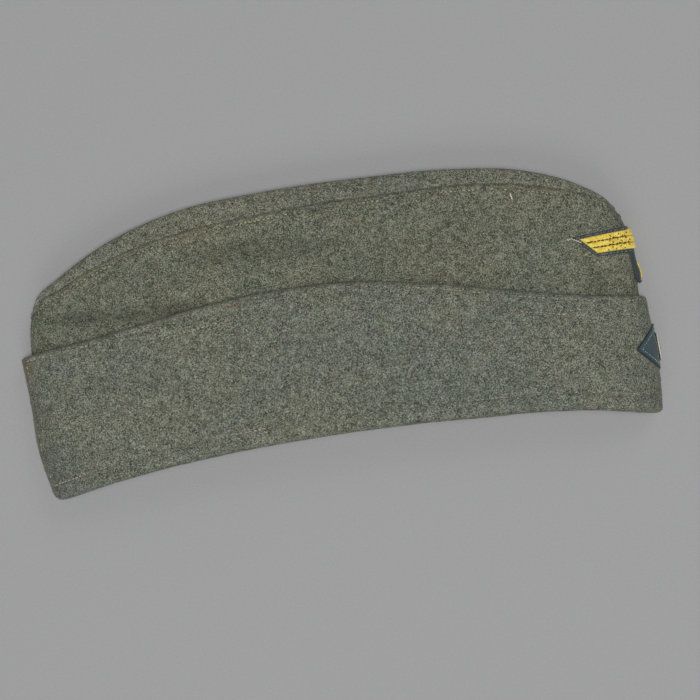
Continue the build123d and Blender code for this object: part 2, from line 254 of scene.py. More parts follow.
# Creases along the right side panel: depth, height of its line at mid length and the line's slope, width,
# where it starts and ends in x, and over what length it comes and goes
CREASES = [(1.9, 12.5, -0.05, 3.4, -142, -46, 22, 26), (-0.9, 20.0, -0.05, 4.2, -140, -50, 25, 26),
           (1.2, 36.4, -0.07, 4.6, -75, 18, 30, 26), (0.45, 24.0, 0.10, 7.0, -10, 95, 30, 30)]


def body_folds(x, y):
    """Creases of the right side panel: those that run along it, and one across it near the front."""
    depth = 1.3 * bell(x - 124.36 + 0.12 * y, 4.2) * bell(y + 1, 10)
    for deep, height, slope, width, start, end, coming, going in CREASES:
        line = bell(y - height - slope * x, width)
        depth = depth + deep * line * smooth((x - start) / coming) * smooth((end - x) / going)
    return -depth


def painted_shade_of_body(side, x, y):
    """How dark the painted shade makes the body: darker in its creases, just above the turn-up's top edge and
    along the crown seam's lap and stitch row; 0 dark, 1 plain.
    """
    # Painted shade in the creases of the right side panel
    crease = np.clip(-body_folds(x, y), 0, 2) if side == TOP else 0
    # Painted contact shadow on the body just above the turn-up's top edge
    beside = bell(y - cuff_edge(x) - 0.2, 0.7)
    _, below = crown_distance(x, y)
    # Painted shade along the crown seam's stitch row and at the edge of its lap
    seam = 0.14 * bell(below - SEAM_ROW, 0.8) + 0.28 * bell(below + 0.2, 0.7)
    return 1 - 0.19 * crease - 0.5 * beside - seam


# Brown places on the wool: centre, size along x and y, and strength
STAINS = {"body": [(107, 48, 7, 2.4, 0.5), (-60, 49, 9, 2.0, 0.25)],
          "cuff": [(-145.5, -3, 2.4, 4, 0.5), (-44, 13.5, 4, 1.4, 0.5), (-146, -30, 2.2, 22, 0.35)]}


def tint_of(kind, x, y):
    """How brown the wool is, 0 to 1."""
    return sum(strength * bell(x - stain_x, wide) * bell(y - stain_y, high)
               for stain_x, stain_y, wide, high, strength in STAINS[kind])


def face_z(side, kind, x, y):
    """Height of the outer face of the body or the turn-up."""
    closed = fullness(side, x / reach(kind, x, y))
    z = SEAM_Z + (middle_z(side, kind, x, y) - SEAM_Z) * closed
    z = z + side * lay(side, x, y) * smooth(closed * 1.6)
    if side == TOP and kind == "body":
        z = z + body_folds(x, y) * smooth(closed * 1.4)
    if side == UNDER:
        z = np.maximum(z, 0.03 if kind == "cuff" else 0.3)
    return z


def nose_radius(side, kind, x, y):
    """How sharply the cap's end is bent, as a radius in mm."""
    return 4 * (middle_z(side, kind, x, y) - SEAM_Z) ** 2 / reach(kind, x, y)


def end_part(kind, x, y):
    """1 at the cap's front and back ends, 0 elsewhere."""
    return smooth((np.abs(x / reach(kind, x, y)) - 0.90) / 0.08)


def body_surface(side, x, y):
    """Points on the body's outer face, with the crown's lip, the lap over the crown seam and its row."""
    away, below = crown_distance(x, y)
    lip = np.sqrt(np.clip(1 - (1 - np.clip(away / CROWN_LIP, 0, 1)) ** 2, 0, 1))
    z = SEAM_Z + (face_z(side, "body", x, y) - SEAM_Z) * lip
    seam = smooth((away - below - 1.0) / 3)
    lap = 0.55 * smooth((8 - below) / 6) - 0.34 * bell(below - SEAM_ROW, 0.75) - 0.25 * bell(below - 9.5, 2.2)
    p = layer(side, x, y, 20.0)
    pucker = 0.10 * noise(p, 5, 41) * bell(below - 3, 5) + 0.10 * noise(p, 11, 42) + 0.05 * noise(p, 4, 43)
    z = z + side * (lap * seam + pucker * lip * smooth(end_free(side, "body", x, y)))
    return np.stack([x, y, z], -1)


def end_free(side, kind, x, y):
    """0 at the very ends, where both sides meet, and 1 a little further in."""
    return 1.5 * fullness(side, x / reach(kind, x, y))


def cuff_surface(side, x, y):
    """Points on the turn-up's outer face, with its hem, stitch rows and bulk."""
    down, up = cuff_edge(x) - y, y - base_edge(x)
    z = face_z(side, "cuff", x, y)
    shape = 0.28 * smooth((HEM_ROW + 1.2 - down) / 1.6)
    shape = shape - 0.36 * bell(down - EDGE_ROW, 0.75) - 0.34 * bell(down - HEM_ROW, 0.8)
    shape = shape - 0.32 * bell(up - BASE_ROW, 0.8) + 0.25 * bell(up - 4.6, 2.6)
    p = layer(side, x, y, 10.0)
    shape = shape + 0.12 * noise(p, 9, 21) + 0.06 * noise(p, 4, 22)
    shape = shape + 0.10 * noise(p * (1, 0.35, 1), 3.6, 23) * (bell(down - 5, 4) + bell(up - 8, 3.5))
    lift = side * shape * smooth(end_free(side, "cuff", x, y)) * (1.0 if side == TOP else 0.15)
    return np.stack([x, y, z + lift], -1)


def normal_at(surface, side, x, y):
    """Outward unit normals of a surface over plan points."""
    step = 0.25
    across = surface(side, x + step, y) - surface(side, x - step, y)
    up = surface(side, x, y + step) - surface(side, x, y - step)
    return unit(np.cross(across, up)) * side


# ------------------------------------------------------------------ meshes
def normals_of(grid):
    """Unit normals of a grid of points, rows by columns."""
    return unit(np.cross(np.gradient(grid, axis=1), np.gradient(grid, axis=0)))


def grid_faces(rows, columns, wrap=False):
    """Faces of a grid of points; wrap joins its last row to its first."""
    index = np.arange(rows * columns).reshape(rows, columns)
    if wrap:
        index = np.vstack([index, index[:1]])
    a, b, c, d = index[:-1, :-1], index[:-1, 1:], index[1:, 1:], index[1:, :-1]
    return np.stack([a, b, c, d], -1).reshape(-1, 4)


def quads(index):
    """Four-cornered faces between rows of point numbers, as a list."""
    corners = np.stack([index[:-1, :-1], index[1:, :-1], index[1:, 1:], index[:-1, 1:]], -1)
    return corners.reshape(-1, 4).tolist()


def add_mesh(name, points, faces, material, replaces):
    """A piece of the cap from points in mm and faces, which are turned to face outwards. Nothing of it
    lies under the table."""
    points = np.maximum(points, (-np.inf, -np.inf, 0.0))
    mesh = bpy.data.meshes.new(name)
    mesh.from_pydata((points * MM).tolist(), [], [list(map(int, face)) for face in faces])
    mesh.update()
    mesh.calc_loop_triangles()
    corners = np.empty(len(mesh.loop_triangles) * 3, int)
    mesh.loop_triangles.foreach_get("vertices", corners)
    p = points[corners.reshape(-1, 3)]
    if np.einsum("ij,ij->i", p[:, 0], np.cross(p[:, 1], p[:, 2])).sum() < 0:
        mesh.flip_normals()
    mesh.polygons.foreach_set("use_smooth", [True] * len(mesh.polygons))
    mesh.materials.append(material)
    piece = bpy.data.objects.new(name, mesh)
    bpy.context.scene.collection.objects.link(piece)
    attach(piece, "root")
    if replaces:
        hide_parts(*replaces)
    return piece


EDGE_ANGLES = np.array([0.35, 0.5, 0.65]) * math.pi


def edge_ring(grid, n, thick, angle, row):
    """Points round the rounded edge of a sheet, at its first or last row."""
    out = unit(grid[0] - grid[1] if row == 0 else grid[-1] - grid[-2])
    half = thick[row] / 2
    return grid[row] - n[row] * half * (1 - math.cos(angle)) + out * half * math.sin(angle)


def cloth(name, grid, thickness, material, replaces, sign, shade=1.0, tint=0.0):
    """A sheet of cloth whose outer face is a grid of points: its inner face lies a thickness below, its
    first and last rows are rounded over, and its ends are closed. Its material reads shade, a painted shade,
    and tint, a brown stain, which are given for each point."""
    n = normals_of(grid) * sign
    thick = np.broadcast_to(np.asarray(thickness, float), grid.shape[:2])[..., None]
    rings = [grid]
    rings += [edge_ring(grid, n, thick, angle, -1)[None] for angle in EDGE_ANGLES]
    rings.append((grid - n * thick)[::-1])
    rings += [edge_ring(grid, n, thick, angle, 0)[None] for angle in EDGE_ANGLES[::-1]]
    loop = np.vstack(rings)
    rows, columns = loop.shape[:2]
    faces = grid_faces(rows, columns, wrap=True).tolist()
    m, k = grid.shape[0], len(EDGE_ANGLES)
    for column in (0, columns - 1):
        ring = np.arange(rows) * columns + column
        outer, back = ring[:m], ring[m + k:2 * m + k][::-1]
        caps = [[outer[i], outer[i + 1], back[i + 1], back[i]] for i in range(m - 1)]
        caps.append([outer[m - 1], *ring[m:m + k], back[m - 1]])
        caps.append([back[0], *ring[2 * m + k:], outer[0]])
        faces += [cap[::-1] for cap in caps] if column else caps
    piece = add_mesh(name, loop.reshape(-1, 3), faces, material, replaces)
    for word, given, plain in (("shade", shade, 1.0), ("tint", tint, 0.0)):
        values = np.full(loop.shape[:2], plain)
        values[:m] = given
        values[m + k:2 * m + k] = np.broadcast_to(given, grid.shape[:2])[::-1]
        piece.data.attributes.new(word, "FLOAT", "POINT").data.foreach_set("value", values.ravel())
    return piece


def tube_parts(path, normals, radii, sides, flat=1.0, closed=False):
    """Points and faces of a tube along a path; flat below 1 presses it towards the cloth."""
    ahead = np.roll(path, -1, 0) - np.roll(path, 1, 0) if closed else np.gradient(path, axis=0)
    tangent = unit(ahead)
    side = unit(np.cross(tangent, normals))
    up = np.cross(side, tangent)
    angles = np.arange(sides) * 2 * math.pi / sides
    radii = np.broadcast_to(radii, len(path))[:, None, None]
    ring = (path[:, None] + radii * (np.cos(angles)[None, :, None] * side[:, None]
                                     + flat * np.sin(angles)[None, :, None] * up[:, None]))
    index = np.arange(len(path) * sides).reshape(len(path), sides)
    index = np.hstack([index, index[:, :1]])
    if closed:
        return ring.reshape(-1, 3), quads(np.vstack([index, index[:1]]))
    ends = [index[0, :sides].tolist(), index[-1, :sides][::-1].tolist()]
    return ring.reshape(-1, 3), quads(index) + ends


def add_tubes(name, parts, material, replaces=(), worth=None):
    """One mesh from many tubes. worth gives each tube, or each of its rings, a value its material reads."""
    points, faces, start, values = [], [], 0, []
    for number, (ring, ring_faces) in enumerate(parts):
        points.append(ring)
        faces += [[corner + start for corner in face] for face in ring_faces]
        start += len(ring)
        given = 0.5 if worth is None else np.asarray(worth[number], float)
        values += np.broadcast_to(np.repeat(given, len(ring) // np.size(given)), len(ring)).tolist()
    piece = add_mesh(name, np.vstack(points), faces, material, replaces)
    piece.data.attributes.new("worth", "FLOAT", "POINT").data.foreach_set("value", values)
    return piece


def stitch_parts(path, normals, pitch, length, radius, rng):
    """Small arched stitches along a path, each dipping into the cloth at both ends, and their middles."""
    along = lengths(path)
    parts, places = [], []
    share = np.linspace(0, 1, 6)
    arch = np.sin(share * math.pi)
    rise = 0.12 + radius * 1.5 * (arch ** 0.7 - 0.75)
    for start in np.arange(pitch * 0.2, along[-1] - length, pitch):
        at = start + rng.uniform(-0.12, 0.12) * pitch + share * length * rng.uniform(0.88, 1.08)
        centre = np.stack([np.interp(at, along, path[:, i]) for i in range(3)], -1)
        up = unit(np.stack([np.interp(at, along, normals[:, i]) for i in range(3)], -1))
        across = np.cross(unit(np.gradient(centre, axis=0)), up)
        slip = rng.uniform(-0.14, 0.14) + (share - 0.5) * rng.uniform(-0.3, 0.3)
        centre = centre + up * rise[:, None] + across * slip[:, None]
        parts.append(tube_parts(centre, up, radius * (0.55 + 0.45 * arch), 6, 0.85))
        places.append(centre[3])
    return parts, places


# ------------------------------------------------------------------ materials
def linear(*levels):
    """A screen colour, 0 to 255 and brighter than 10, as linear light."""
    return tuple(((level / 255 + 0.055) / 1.055) ** 2.4 for level in levels) + (1.0,)


class Nodes:
    """A small helper that wires one material's nodes."""

    def __init__(self, name, roughness, specular, sheen=0.0):
        self.material = bpy.data.materials.new(name)
        self.material.use_nodes = True
        self.tree = self.material.node_tree
        self.shader = self.tree.nodes["Principled BSDF"]
        self.shader.inputs["Roughness"].default_value = roughness
        self.shader.inputs["Specular IOR Level"].default_value = specular
        self.shader.inputs["Sheen Weight"].default_value = sheen
        self.shader.inputs["Sheen Roughness"].default_value = 0.5
        self.where = self.tree.nodes.new("ShaderNodeTexCoord").outputs["Object"]

    def node(self, kind, inputs=(), **settings):
        """A node whose inputs are linked to sockets or set to values."""
        made = self.tree.nodes.new(kind)
        for key, value in settings.items():
            setattr(made, key, value)
        for key, value in dict(inputs).items():
            if isinstance(value, bpy.types.NodeSocket):
                self.tree.links.new(value, made.inputs[key])
            else:
                made.inputs[key].default_value = value
        return made

    def attribute(self, name):
        """What the mesh gives each of its points under this name."""
        return self.node("ShaderNodeAttribute", attribute_name=name).outputs["Fac"]

    def noise(self, per_mm, detail, roughness=0.55, stretch=(1, 1, 1), turn=0.0, offset=0.0):
        """Noise with about per_mm lumps a millimetre, maybe moved, turned about z and stretched."""
        vector = self.node("ShaderNodeMapping", {
            "Vector": self.where, "Rotation": (0, 0, math.radians(turn)),
            "Location": (offset, offset / 2, 0)}, vector_type="TEXTURE").outputs[0]
        vector = self.node("ShaderNodeVectorMath", {0: vector, 1: stretch}, operation="MULTIPLY").outputs[0]
        return self.node("ShaderNodeTexNoise", {
            "Vector": vector, "Scale": per_mm / MM, "Detail": detail, "Roughness": roughness}).outputs[0]

    def ramp(self, value, *stops):
        """Colours or grey levels by value, straight from one stop to the next."""
        made = self.node("ShaderNodeValToRGB", {0: value})
        elements = made.color_ramp.elements
        while len(elements) < len(stops):
            elements.new(0.5)
        for element, (place, colour) in zip(elements, stops):
            element.position = place
            element.color = colour if hasattr(colour, "__len__") else (colour, colour, colour, 1)
        return made.outputs[0]

    def maths(self, operation, a, b, c=0.0):
        """A sum on values."""
        return self.node("ShaderNodeMath", {0: a, 1: b, 2: c}, operation=operation).outputs[0]

    def mix(self, factor, a, b, blend="MIX"):
        """Colour a with colour b blended in by the factor."""
        made = self.node("ShaderNodeMix", data_type="RGBA", blend_type=blend)
        for socket, value in ((made.inputs[0], factor), (made.inputs[6], a), (made.inputs[7], b)):
            if isinstance(value, bpy.types.NodeSocket):
                self.tree.links.new(value, socket)
            else:
                socket.default_value = value
        return made.outputs[2]

    def finish(self, colour, height, distance, strength, roughness=None):
        """The material, with its colour and with a bump up to distance mm high from the height."""
        self.tree.links.new(colour, self.shader.inputs["Base Color"])
        if roughness is not None:
            self.tree.links.new(roughness, self.shader.inputs["Roughness"])
        settings = {"Height": height, "Distance": distance * MM, "Strength": strength}
        bump = self.node("ShaderNodeBump", settings)
        self.tree.links.new(bump.outputs[0], self.shader.inputs["Normal"])
        return self.material


def wool(name, dark, mid, light, drift_a, drift_b):
    """Felted melange wool: dark, middle and light fibres, fine specks, and slow drifts of tone."""
    m = Nodes(name, roughness=0.93, sheen=0.10, specular=0.15)
    fibres = [m.noise(1.4, 1.5, 0.5, stretch=(2.4, 0.6, 1.6), turn=turn, offset=off)
              for turn, off in ((32, 0.0), (-41, 0.7), (84, 1.3))]
    speck = m.noise(2.3, 2.0, 0.75)
    grain = m.noise(1.25, 3.0, 0.65, offset=1.7)
    mottle = m.noise(0.30, 3.0, 0.6, offset=0.4)
    streak = m.maths("MAXIMUM", m.maths("MAXIMUM", fibres[0], fibres[1]), fibres[2])
    body = m.maths("MULTIPLY_ADD", grain, 0.30, m.maths("MULTIPLY", mottle, 0.16))
    body = m.maths("MULTIPLY_ADD", speck, 0.54, body)
    colour = m.ramp(body, (0.415, dark), (0.5, mid), (0.595, light))
    lit = m.ramp(streak, (0.60, 0.0), (0.70, 0.65))
    colour = m.mix(lit, colour, light)
    sunk = m.ramp(m.maths("MINIMUM", fibres[0], fibres[1]), (0.28, 0.8), (0.40, 0.0))
    colour = m.mix(sunk, colour, dark)
    tan = m.ramp(m.noise(1.1, 1.0, 0.5, offset=5.2), (0.66, 0.0), (0.74, 0.35))
    colour = m.mix(tan, colour, linear(176, 160, 124))
    tone = m.ramp(m.noise(0.021, 2.0, 0.5, offset=2.0), (0.36, drift_a), (0.64, drift_b))
    colour = m.mix(0.5, colour, tone, "SOFT_LIGHT")
    wear = m.noise(0.075, 3.0, 0.6, offset=3.1)
    colour = m.mix(m.ramp(wear, (0.60, 0.0), (0.74, 0.22)), colour, linear(132, 124, 98))
    # Painted shade: the shade attribute darkens the wool in creases, above the turn-up's edge and along the
    # crown seam
    shade = m.attribute("shade")
    colour = m.mix(m.ramp(shade, (0.2, 0.75), (1.0, 0.0)), colour, linear(40, 42, 34))
    dyed = m.node("ShaderNodeTexNoise", {"Vector": m.where, "Scale": 0.8 / MM, "Detail": 2.0}).outputs[1]
    colour = m.mix(0.3, colour, dyed, "SOFT_LIGHT")
    tint = m.attribute("tint")
    colour = m.mix(m.ramp(tint, (0.0, 0.0), (1.0, 0.8)), colour, linear(112, 92, 66))
    height = m.maths("MULTIPLY_ADD", streak, 0.45, m.maths("MULTIPLY", speck, 0.8))
    rough = m.ramp(grain, (0.3, 0.98), (0.7, 0.86))
    return m.finish(colour, height, distance=0.20, strength=0.6, roughness=rough)


def woven(name, warp, weft, pitch=0.5):
    """A plain woven cotton: crossing threads with small unevenness."""
    m = Nodes(name, roughness=0.85, specular=0.2)
    spread = m.noise(0.9, 2.0)
    bands = []
    for direction in ("X", "Y"):
        wave = m.node("ShaderNodeTexWave", {"Vector": m.where, "Scale": 0.5 / pitch / MM,
                                            "Distortion": 1.2, "Detail": 1.0, "Detail Scale": 2.0},
                      bands_direction=direction)
        bands.append(wave.outputs[1])
    weave = m.maths("MULTIPLY", bands[0], bands[1])
    colour = m.mix(m.ramp(weave, (0.1, 0.0), (0.8, 1.0)), warp, weft)
    colour = m.mix(m.ramp(spread, (0.35, 0.35), (0.65, 0.0)), colour, (0.03, 0.03, 0.025, 1))
    return m.finish(colour, weave, distance=0.12, strength=0.7)


def thread_material(name, dull, bright, low=0.1, high=0.9, gloss=0.6):
    """Twisted thread: each stitch's worth runs from dull to bright, for the thread's wear and, where given,
    painted shade and highlight.
    """
    m = Nodes(name, roughness=gloss, specular=0.35, sheen=0.1)
    worth = m.attribute("worth")
    vary = m.noise(0.9, 2.0, 0.6, offset=0.9)
    level = m.maths("MULTIPLY_ADD", m.maths("SUBTRACT", vary, 0.5), 0.7, worth)
    colour = m.ramp(level, (low, dull), (high, bright))
    fine = m.noise(3.2, 2.0, 0.6, stretch=(1.0, 1.0, 2.0), turn=40)
    colour = m.mix(m.ramp(fine, (0.35, 0.55), (0.6, 0.0)), colour, dull)
    return m.finish(colour, fine, distance=0.08, strength=0.6)


def close_cloth(name, deep, raised):
    """Close badge cloth with a fine nap."""
    m = Nodes(name, roughness=0.88, sheen=0.15, specular=0.2)
    fine = m.noise(2.4, 3.0, 0.6)
    slow = m.noise(0.25, 2.0, 0.5)
    colour = m.mix(m.ramp(fine, (0.38, 0.0), (0.64, 1.0)), deep, raised)
    colour = m.mix(m.ramp(slow, (0.4, 0.35), (0.6, 0.0)), colour, deep)
    return m.finish(colour, fine, distance=0.12, strength=0.7)


wool_body = wool("wool_body", linear(41, 44, 36), linear(98, 103, 89), linear(170, 171, 155),
                 linear(112, 120, 122), linear(146, 138, 120))
wool_crown = wool("wool_crown", linear(45, 48, 40), linear(103, 107, 94), linear(175, 175, 161),
                  linear(112, 120, 124), linear(142, 136, 120))
wool_cuff = wool("wool_turn_up", linear(45, 48, 41), linear(99, 104, 93), linear(172, 175, 162),
                 linear(112, 120, 124), linear(142, 136, 122))
cotton_lining = woven("lining_cotton", linear(112, 110, 98), linear(138, 136, 122))
cotton_band = woven("facing_cotton", linear(84, 82, 68), linear(116, 112, 94), pitch=0.7)
ochre = thread_material("ochre_thread", linear(60, 58, 46), linear(216, 200, 164), 0.0, 1.0)
teal = close_cloth("teal_cloth", linear(46, 54, 54), linear(82, 92, 92))
edge_thread = thread_material("edge_thread", linear(28, 44, 34), linear(136, 140, 144), 0.2, 0.8)
teal_blue = close_cloth("rosette_cloth", linear(54, 70, 78), linear(80, 97, 105))
teal_cord = thread_material("teal_thread", linear(26, 31, 35), linear(54, 66, 70))
teal_light = thread_material("light_teal_thread", linear(92, 114, 108), linear(160, 184, 172), 0.0, 0.8)
yellow = thread_material("yellow_thread", linear(190, 138, 30), linear(255, 240, 112), 0.0, 0.95, gloss=0.5)
dark_thread = thread_material("dark_thread", linear(40, 34, 18), linear(104, 78, 26))
cream = thread_material("cream_thread", linear(196, 188, 160), linear(240, 236, 222), 0.2, 0.8)
fibre = thread_material("loose_fibre", linear(48, 50, 42), linear(206, 204, 188), 0.25, 1.0, gloss=0.9)


# ------------------------------------------------------------------ body: side panels and crown
COLUMNS = 360                   # points along each long cloth, and up the panel, strip and turn-up's face
PANEL_ROWS, STRIP_ROWS, FACE_ROWS = 128, 64, 92
RIDGE_ROW = 34                  # the crown strip's row where it turns down into the valley


def panel_plan(columns, rows, gap_low=3.2, gap_high=0.0):
    """Plan points of a side panel, from just inside the rolled lower edge up to the crown seam."""
    x, y, nx, ny = outline_at(crown_shares(columns))
    inset = panel_inset(x, y) + gap_high * smooth(seam_inset(x) / 3) * (y > STRIP_FOOT)
    top_x, top_y = x + nx * inset, y + ny * inset
    q = np.linspace(-1, 1, columns) * 0.9999
    low_x = np.sin(q * math.pi / 2)
    low_y = base_edge(low_x * 140) + gap_low
    low_x = low_x * reach("body", low_x, low_y)
    t = (1 - (1 - np.linspace(0, 1, rows)) ** 1.35)[:, None]
    return low_x + (top_x - low_x) * t, low_y + (top_y - low_y) * t


def closing(kind, side, x, y, full):
    """A thickness or depth that eases off where the cap's ends are too sharp for it."""
    room = np.minimum(full, 0.55 * nose_radius(side, kind, x, y))
    return full + (room - full) * end_part(kind, x, y)


panel_grids = {}
for name, side in SIDES.items():
    x, y = panel_plan(COLUMNS, PANEL_ROWS)
    panel_grids[name] = body_surface(side, x, y)
    thick = closing("body", side, x, y, WOOL)
    strip_end = bell(seam_inset(x[-1]) - 0.7, 0.9) * (y[-1] > 15)
    lap = smooth((np.linspace(0, 1, PANEL_ROWS) - 0.73) / 0.17)[:, None]
    thick = thick * (1 - 0.9 * strip_end * lap)                 # the lap is thin where the strip runs out
    # Each panel carries painted shade for its creases, the turn-up's edge and the crown seam
    panel = cloth(f"side_panel_{name}_wool", panel_grids[name], thick, wool_body,
                  [f"side_panel_{name}"], sign=side, shade=painted_shade_of_body(side, x, y), tint=tint_of("body", x, y))


def strip_section(rows):
    """The crown strip's section: how far in from the outline, 1 at the seam and in the valley, and how high
    over the valley, 1 on the ridge."""
    corner = np.array([(1.35, 1.0), (1.1, 1.0), (0.85, 1.0), (0.55, 0.99), (0.32, 0.965), (0.15, 0.90),
                       (0.04, 0.79), (0.0, 0.66), (0.03, 0.53), (0.12, 0.42), (0.28, 0.33), (0.5, 0.25),
                       (0.75, 0.17), (1.0, 0.08), (1.15, 0.05)])
    along = lengths(corner)
    places = np.linspace(0, along[-1], rows)
    return curve(np.c_[along, corner[:, 0]])(places), curve(np.c_[along, corner[:, 1]])(places)


def strip_grid(side):
    """The crown strip: from under the panel's lap, over the ridge, down into the valley between both."""
    x, y, into_x, into_y = outline_at(crown_shares(COLUMNS))
    use = (seam_inset(x) > 0.6) & (y > STRIP_FOOT)
    x, y, into_x, into_y = x[use], y[use], into_x[use], into_y[use]
    inset = seam_inset(x)
    inwards, upwards = (share[:, None] for share in strip_section(STRIP_ROWS))
    outside = np.cumsum(np.abs(np.diff(upwards[:, 0], prepend=1.0)))[:, None] < 0.34
    valley_depth = 11.5 * smooth(inset / 7)
    across = inwards * np.where(outside, inset, valley_depth)
    full = smooth(inset / 2.4)
    z_seam = face_z(side, "body", x + into_x * inset, y + into_y * inset)
    z_here, z_other = (SEAM_Z + (face_z(which, "body", x + into_x * 2, y + into_y * 2) - SEAM_Z) * full
                       for which in (side, -side))
    near_seam = smooth((across - 1.0) / np.maximum(inset - 1.0, 0.5)) * outside
    top = z_here + (z_seam - z_here) * near_seam
    valley_z = (z_here + z_other) / 2
    z = valley_z + (top - valley_z) * upwards
    z = z - side * 0.75 * smooth((across - inset + 1.6) / 1.4) * outside
    grid = np.stack([x + into_x * across, y + into_y * across, z], -1)
    grid[..., 2] += side * outside * (0.25 * noise(grid, 16, 11) + 0.12 * noise(grid, 7, 12))
    return grid, inset


strip_grids = {}
valley_lines = []
for name, side in SIDES.items():
    strip_grids[name], inset = strip_grid(side)
    thick = np.clip(0.32 * inset, 0.4, 1.7)[None]
    strip = cloth(f"crown_strip_{name}_wool", strip_grids[name], thick, wool_crown,
                  [f"crown_strip_{name}"], sign=side)
    valley_lines.append(strip_grids[name][-1])

# The seam between the two crown strips, at the bottom of the valley
valley = (valley_lines[0] + valley_lines[1]) / 2
ridge_middle = (strip_grids["right"][RIDGE_ROW] + strip_grids["left"][RIDGE_ROW]) / 2
seam_up = unit(ridge_middle - valley)
bead_radii = np.clip(0.16 * inset, 0.15, 1.1)
bead_path = valley + seam_up * 0.4 * bead_radii[:, None]
bead_part = slice(8, -8)                                        # it stops short of the strips' ends
bead = tube_parts(bead_path[bead_part], seam_up[bead_part], bead_radii[bead_part], 10, 0.8)
add_tubes("crown_seam_bead", [bead], wool_crown, ["crown_centre_seam"])

# ------------------------------------------------------------------ turn-up
def corner_cut(back, front, x, y):
    """How much corners of these radii take off the turn-up's edge near its back and front ends."""
    radius = np.where(x > 0, front, back)
    room = reach("cuff", x, y) - np.abs(x)
    u = np.clip(1 - room / radius, 0, 1)
    return radius * (1 - np.sqrt(1 - u * u))


def cuff_grid(side):
    """The turn-up's cloth from its hem, over the top fold, down the outside and round the lower roll."""
    across = np.sin(np.linspace(-1, 1, COLUMNS) * math.pi / 2) * 0.99995
    level = np.linspace(0, 1, FACE_ROWS)
    level = 0.5 * level + 0.25 * (1 - np.cos(level * math.pi))
    x = np.tile(across * CUFF_REACH, (FACE_ROWS, 1))
    for _ in range(6):                                          # x and y settle, since each sets the other
        top_y = cuff_edge(x[0]) - corner_cut(1.4, 1.2, x[0], cuff_edge(x[0]))
        base_y = base_edge(x[-1]) + corner_cut(3.4, 2.2, x[-1], base_edge(x[-1]))
        gap = middle_z(TOP, "cuff", x[-1], base_y) - middle_z(UNDER, "cuff", x[-1], base_y)
        gap = gap * fullness(side, x[-1] / reach("cuff", x[-1], base_y))
        roll = np.clip(0.23 * gap, 0.8, ROLL)
        fold = FOLD * smooth(gap / 11 + 0.25)
        y = (top_y - fold) + (base_y + roll - top_y + fold) * level[:, None]
        x = across * reach("cuff", across + np.zeros_like(x), y)
    face = cuff_surface(side, x, y)
    n = normals_of(face) * -side
    up, down = unit(face[0] - face[2]), unit(face[-1] - face[-3])

    def bend(row, out, radius, angle):
        """The cloth after it has turned by an angle round a bend that starts at a row of the face."""
        turned = (radius * (1 - math.cos(angle)))[:, None]
        return face[row] - n[row] * turned + out * (radius * math.sin(angle))[:, None]

    hem_rows = [int(round(HEM * share / 75 * FACE_ROWS)) for share in np.linspace(1, 0.12, 9)]
    rows = [face[i] - n[i] * 2 * fold[:, None] for i in hem_rows]
    rows += [bend(0, up, fold, angle) for angle in np.linspace(1, 0, 10)[:-1] * math.pi]
    rows += list(face)
    rows += [bend(-1, down, roll, angle) for angle in np.linspace(0, 1, 16)[1:] * math.pi]
    inner_edge = rows[-1]
    rows += [inner_edge - down * length for length in np.linspace(1.2, 7, 6)]
    return np.array(rows), face, roll


cuff_faces = {}
for name, side in SIDES.items():
    grid, cuff_faces[name], roll = cuff_grid(side)
    thick = np.clip(0.45 * roll, 0.5, CUFF_WOOL)[None]
    cuff = cloth(f"turn_up_{name}_wool", grid, thick, wool_cuff,
                 [f"turn_up_{name}", f"turn_up_hem_{name}"], sign=-side,
                 tint=tint_of("cuff", grid[..., 0], grid[..., 1]))


def end_seam(name, kind, end, low, high, recess, radius, material, replaces=()):
    """A cord of cloth along the closed seam at the front or back end, recessed from the cap's edge."""
    y = np.linspace(low, high, 90)
    x = end * (reach(kind, np.full_like(y, end), y) - recess)
    path = np.stack([x, y, np.full_like(y, SEAM_Z)], -1)
    path[:, 0] += 0.12 * noise(path, 3, 51)
    outwards = np.broadcast_to(np.array([float(end), 0, 0]), path.shape)
    add_tubes(name, [tube_parts(path, outwards, radius, 8)], material, replaces)


for end, word, body_top in ((1, "front", 22.0), (-1, "back", 24.0)):
    low, high = base_edge(end * CUFF_REACH), cuff_edge(end * CUFF_REACH)
    end_seam(f"turn_up_{word}_seam_cord", "cuff", end, low + 4.5, high - 3.0, 1.0, 0.7, wool_cuff,
             [f"turn_up_{word}_seam"])
    end_seam(f"turn_up_{word}_seam_allowance", "cuff", end, low + 2.4, low + 17, 3.6, 2.0, wool_cuff)
    end_seam(f"body_{word}_seam_cord", "body", end, high - 6.0, body_top, 1.2, 0.6, wool_body)

# ------------------------------------------------------------------ inside: lining and facing band
def lining_grid(side):
    """The lining's outer face: it follows the body's inside a little below the wool, with wrinkles."""
    x, y = panel_plan(260, 70, 11.5, 3.4)
    x = x * 0.996
    face = body_surface(side, x, y)
    n = normals_of(face) * side
    p = layer(side, x, y, 30.0)
    wrinkles = 0.16 * (1 + noise(p * (1, 0.4, 1), 9, 61) + 0.5 * noise(p, 4, 62))
    return face - n * (closing("body", side, x, y, WOOL + 0.45) + wrinkles)[..., None]


lining_tops = []
for name, side in SIDES.items():
    grid = lining_grid(side)
    lining = cloth(f"lining_{name}_cotton", grid, LINING, cotton_lining, [f"lining_{name}"],
                   sign=side)
    lining_tops.append(grid[-1])


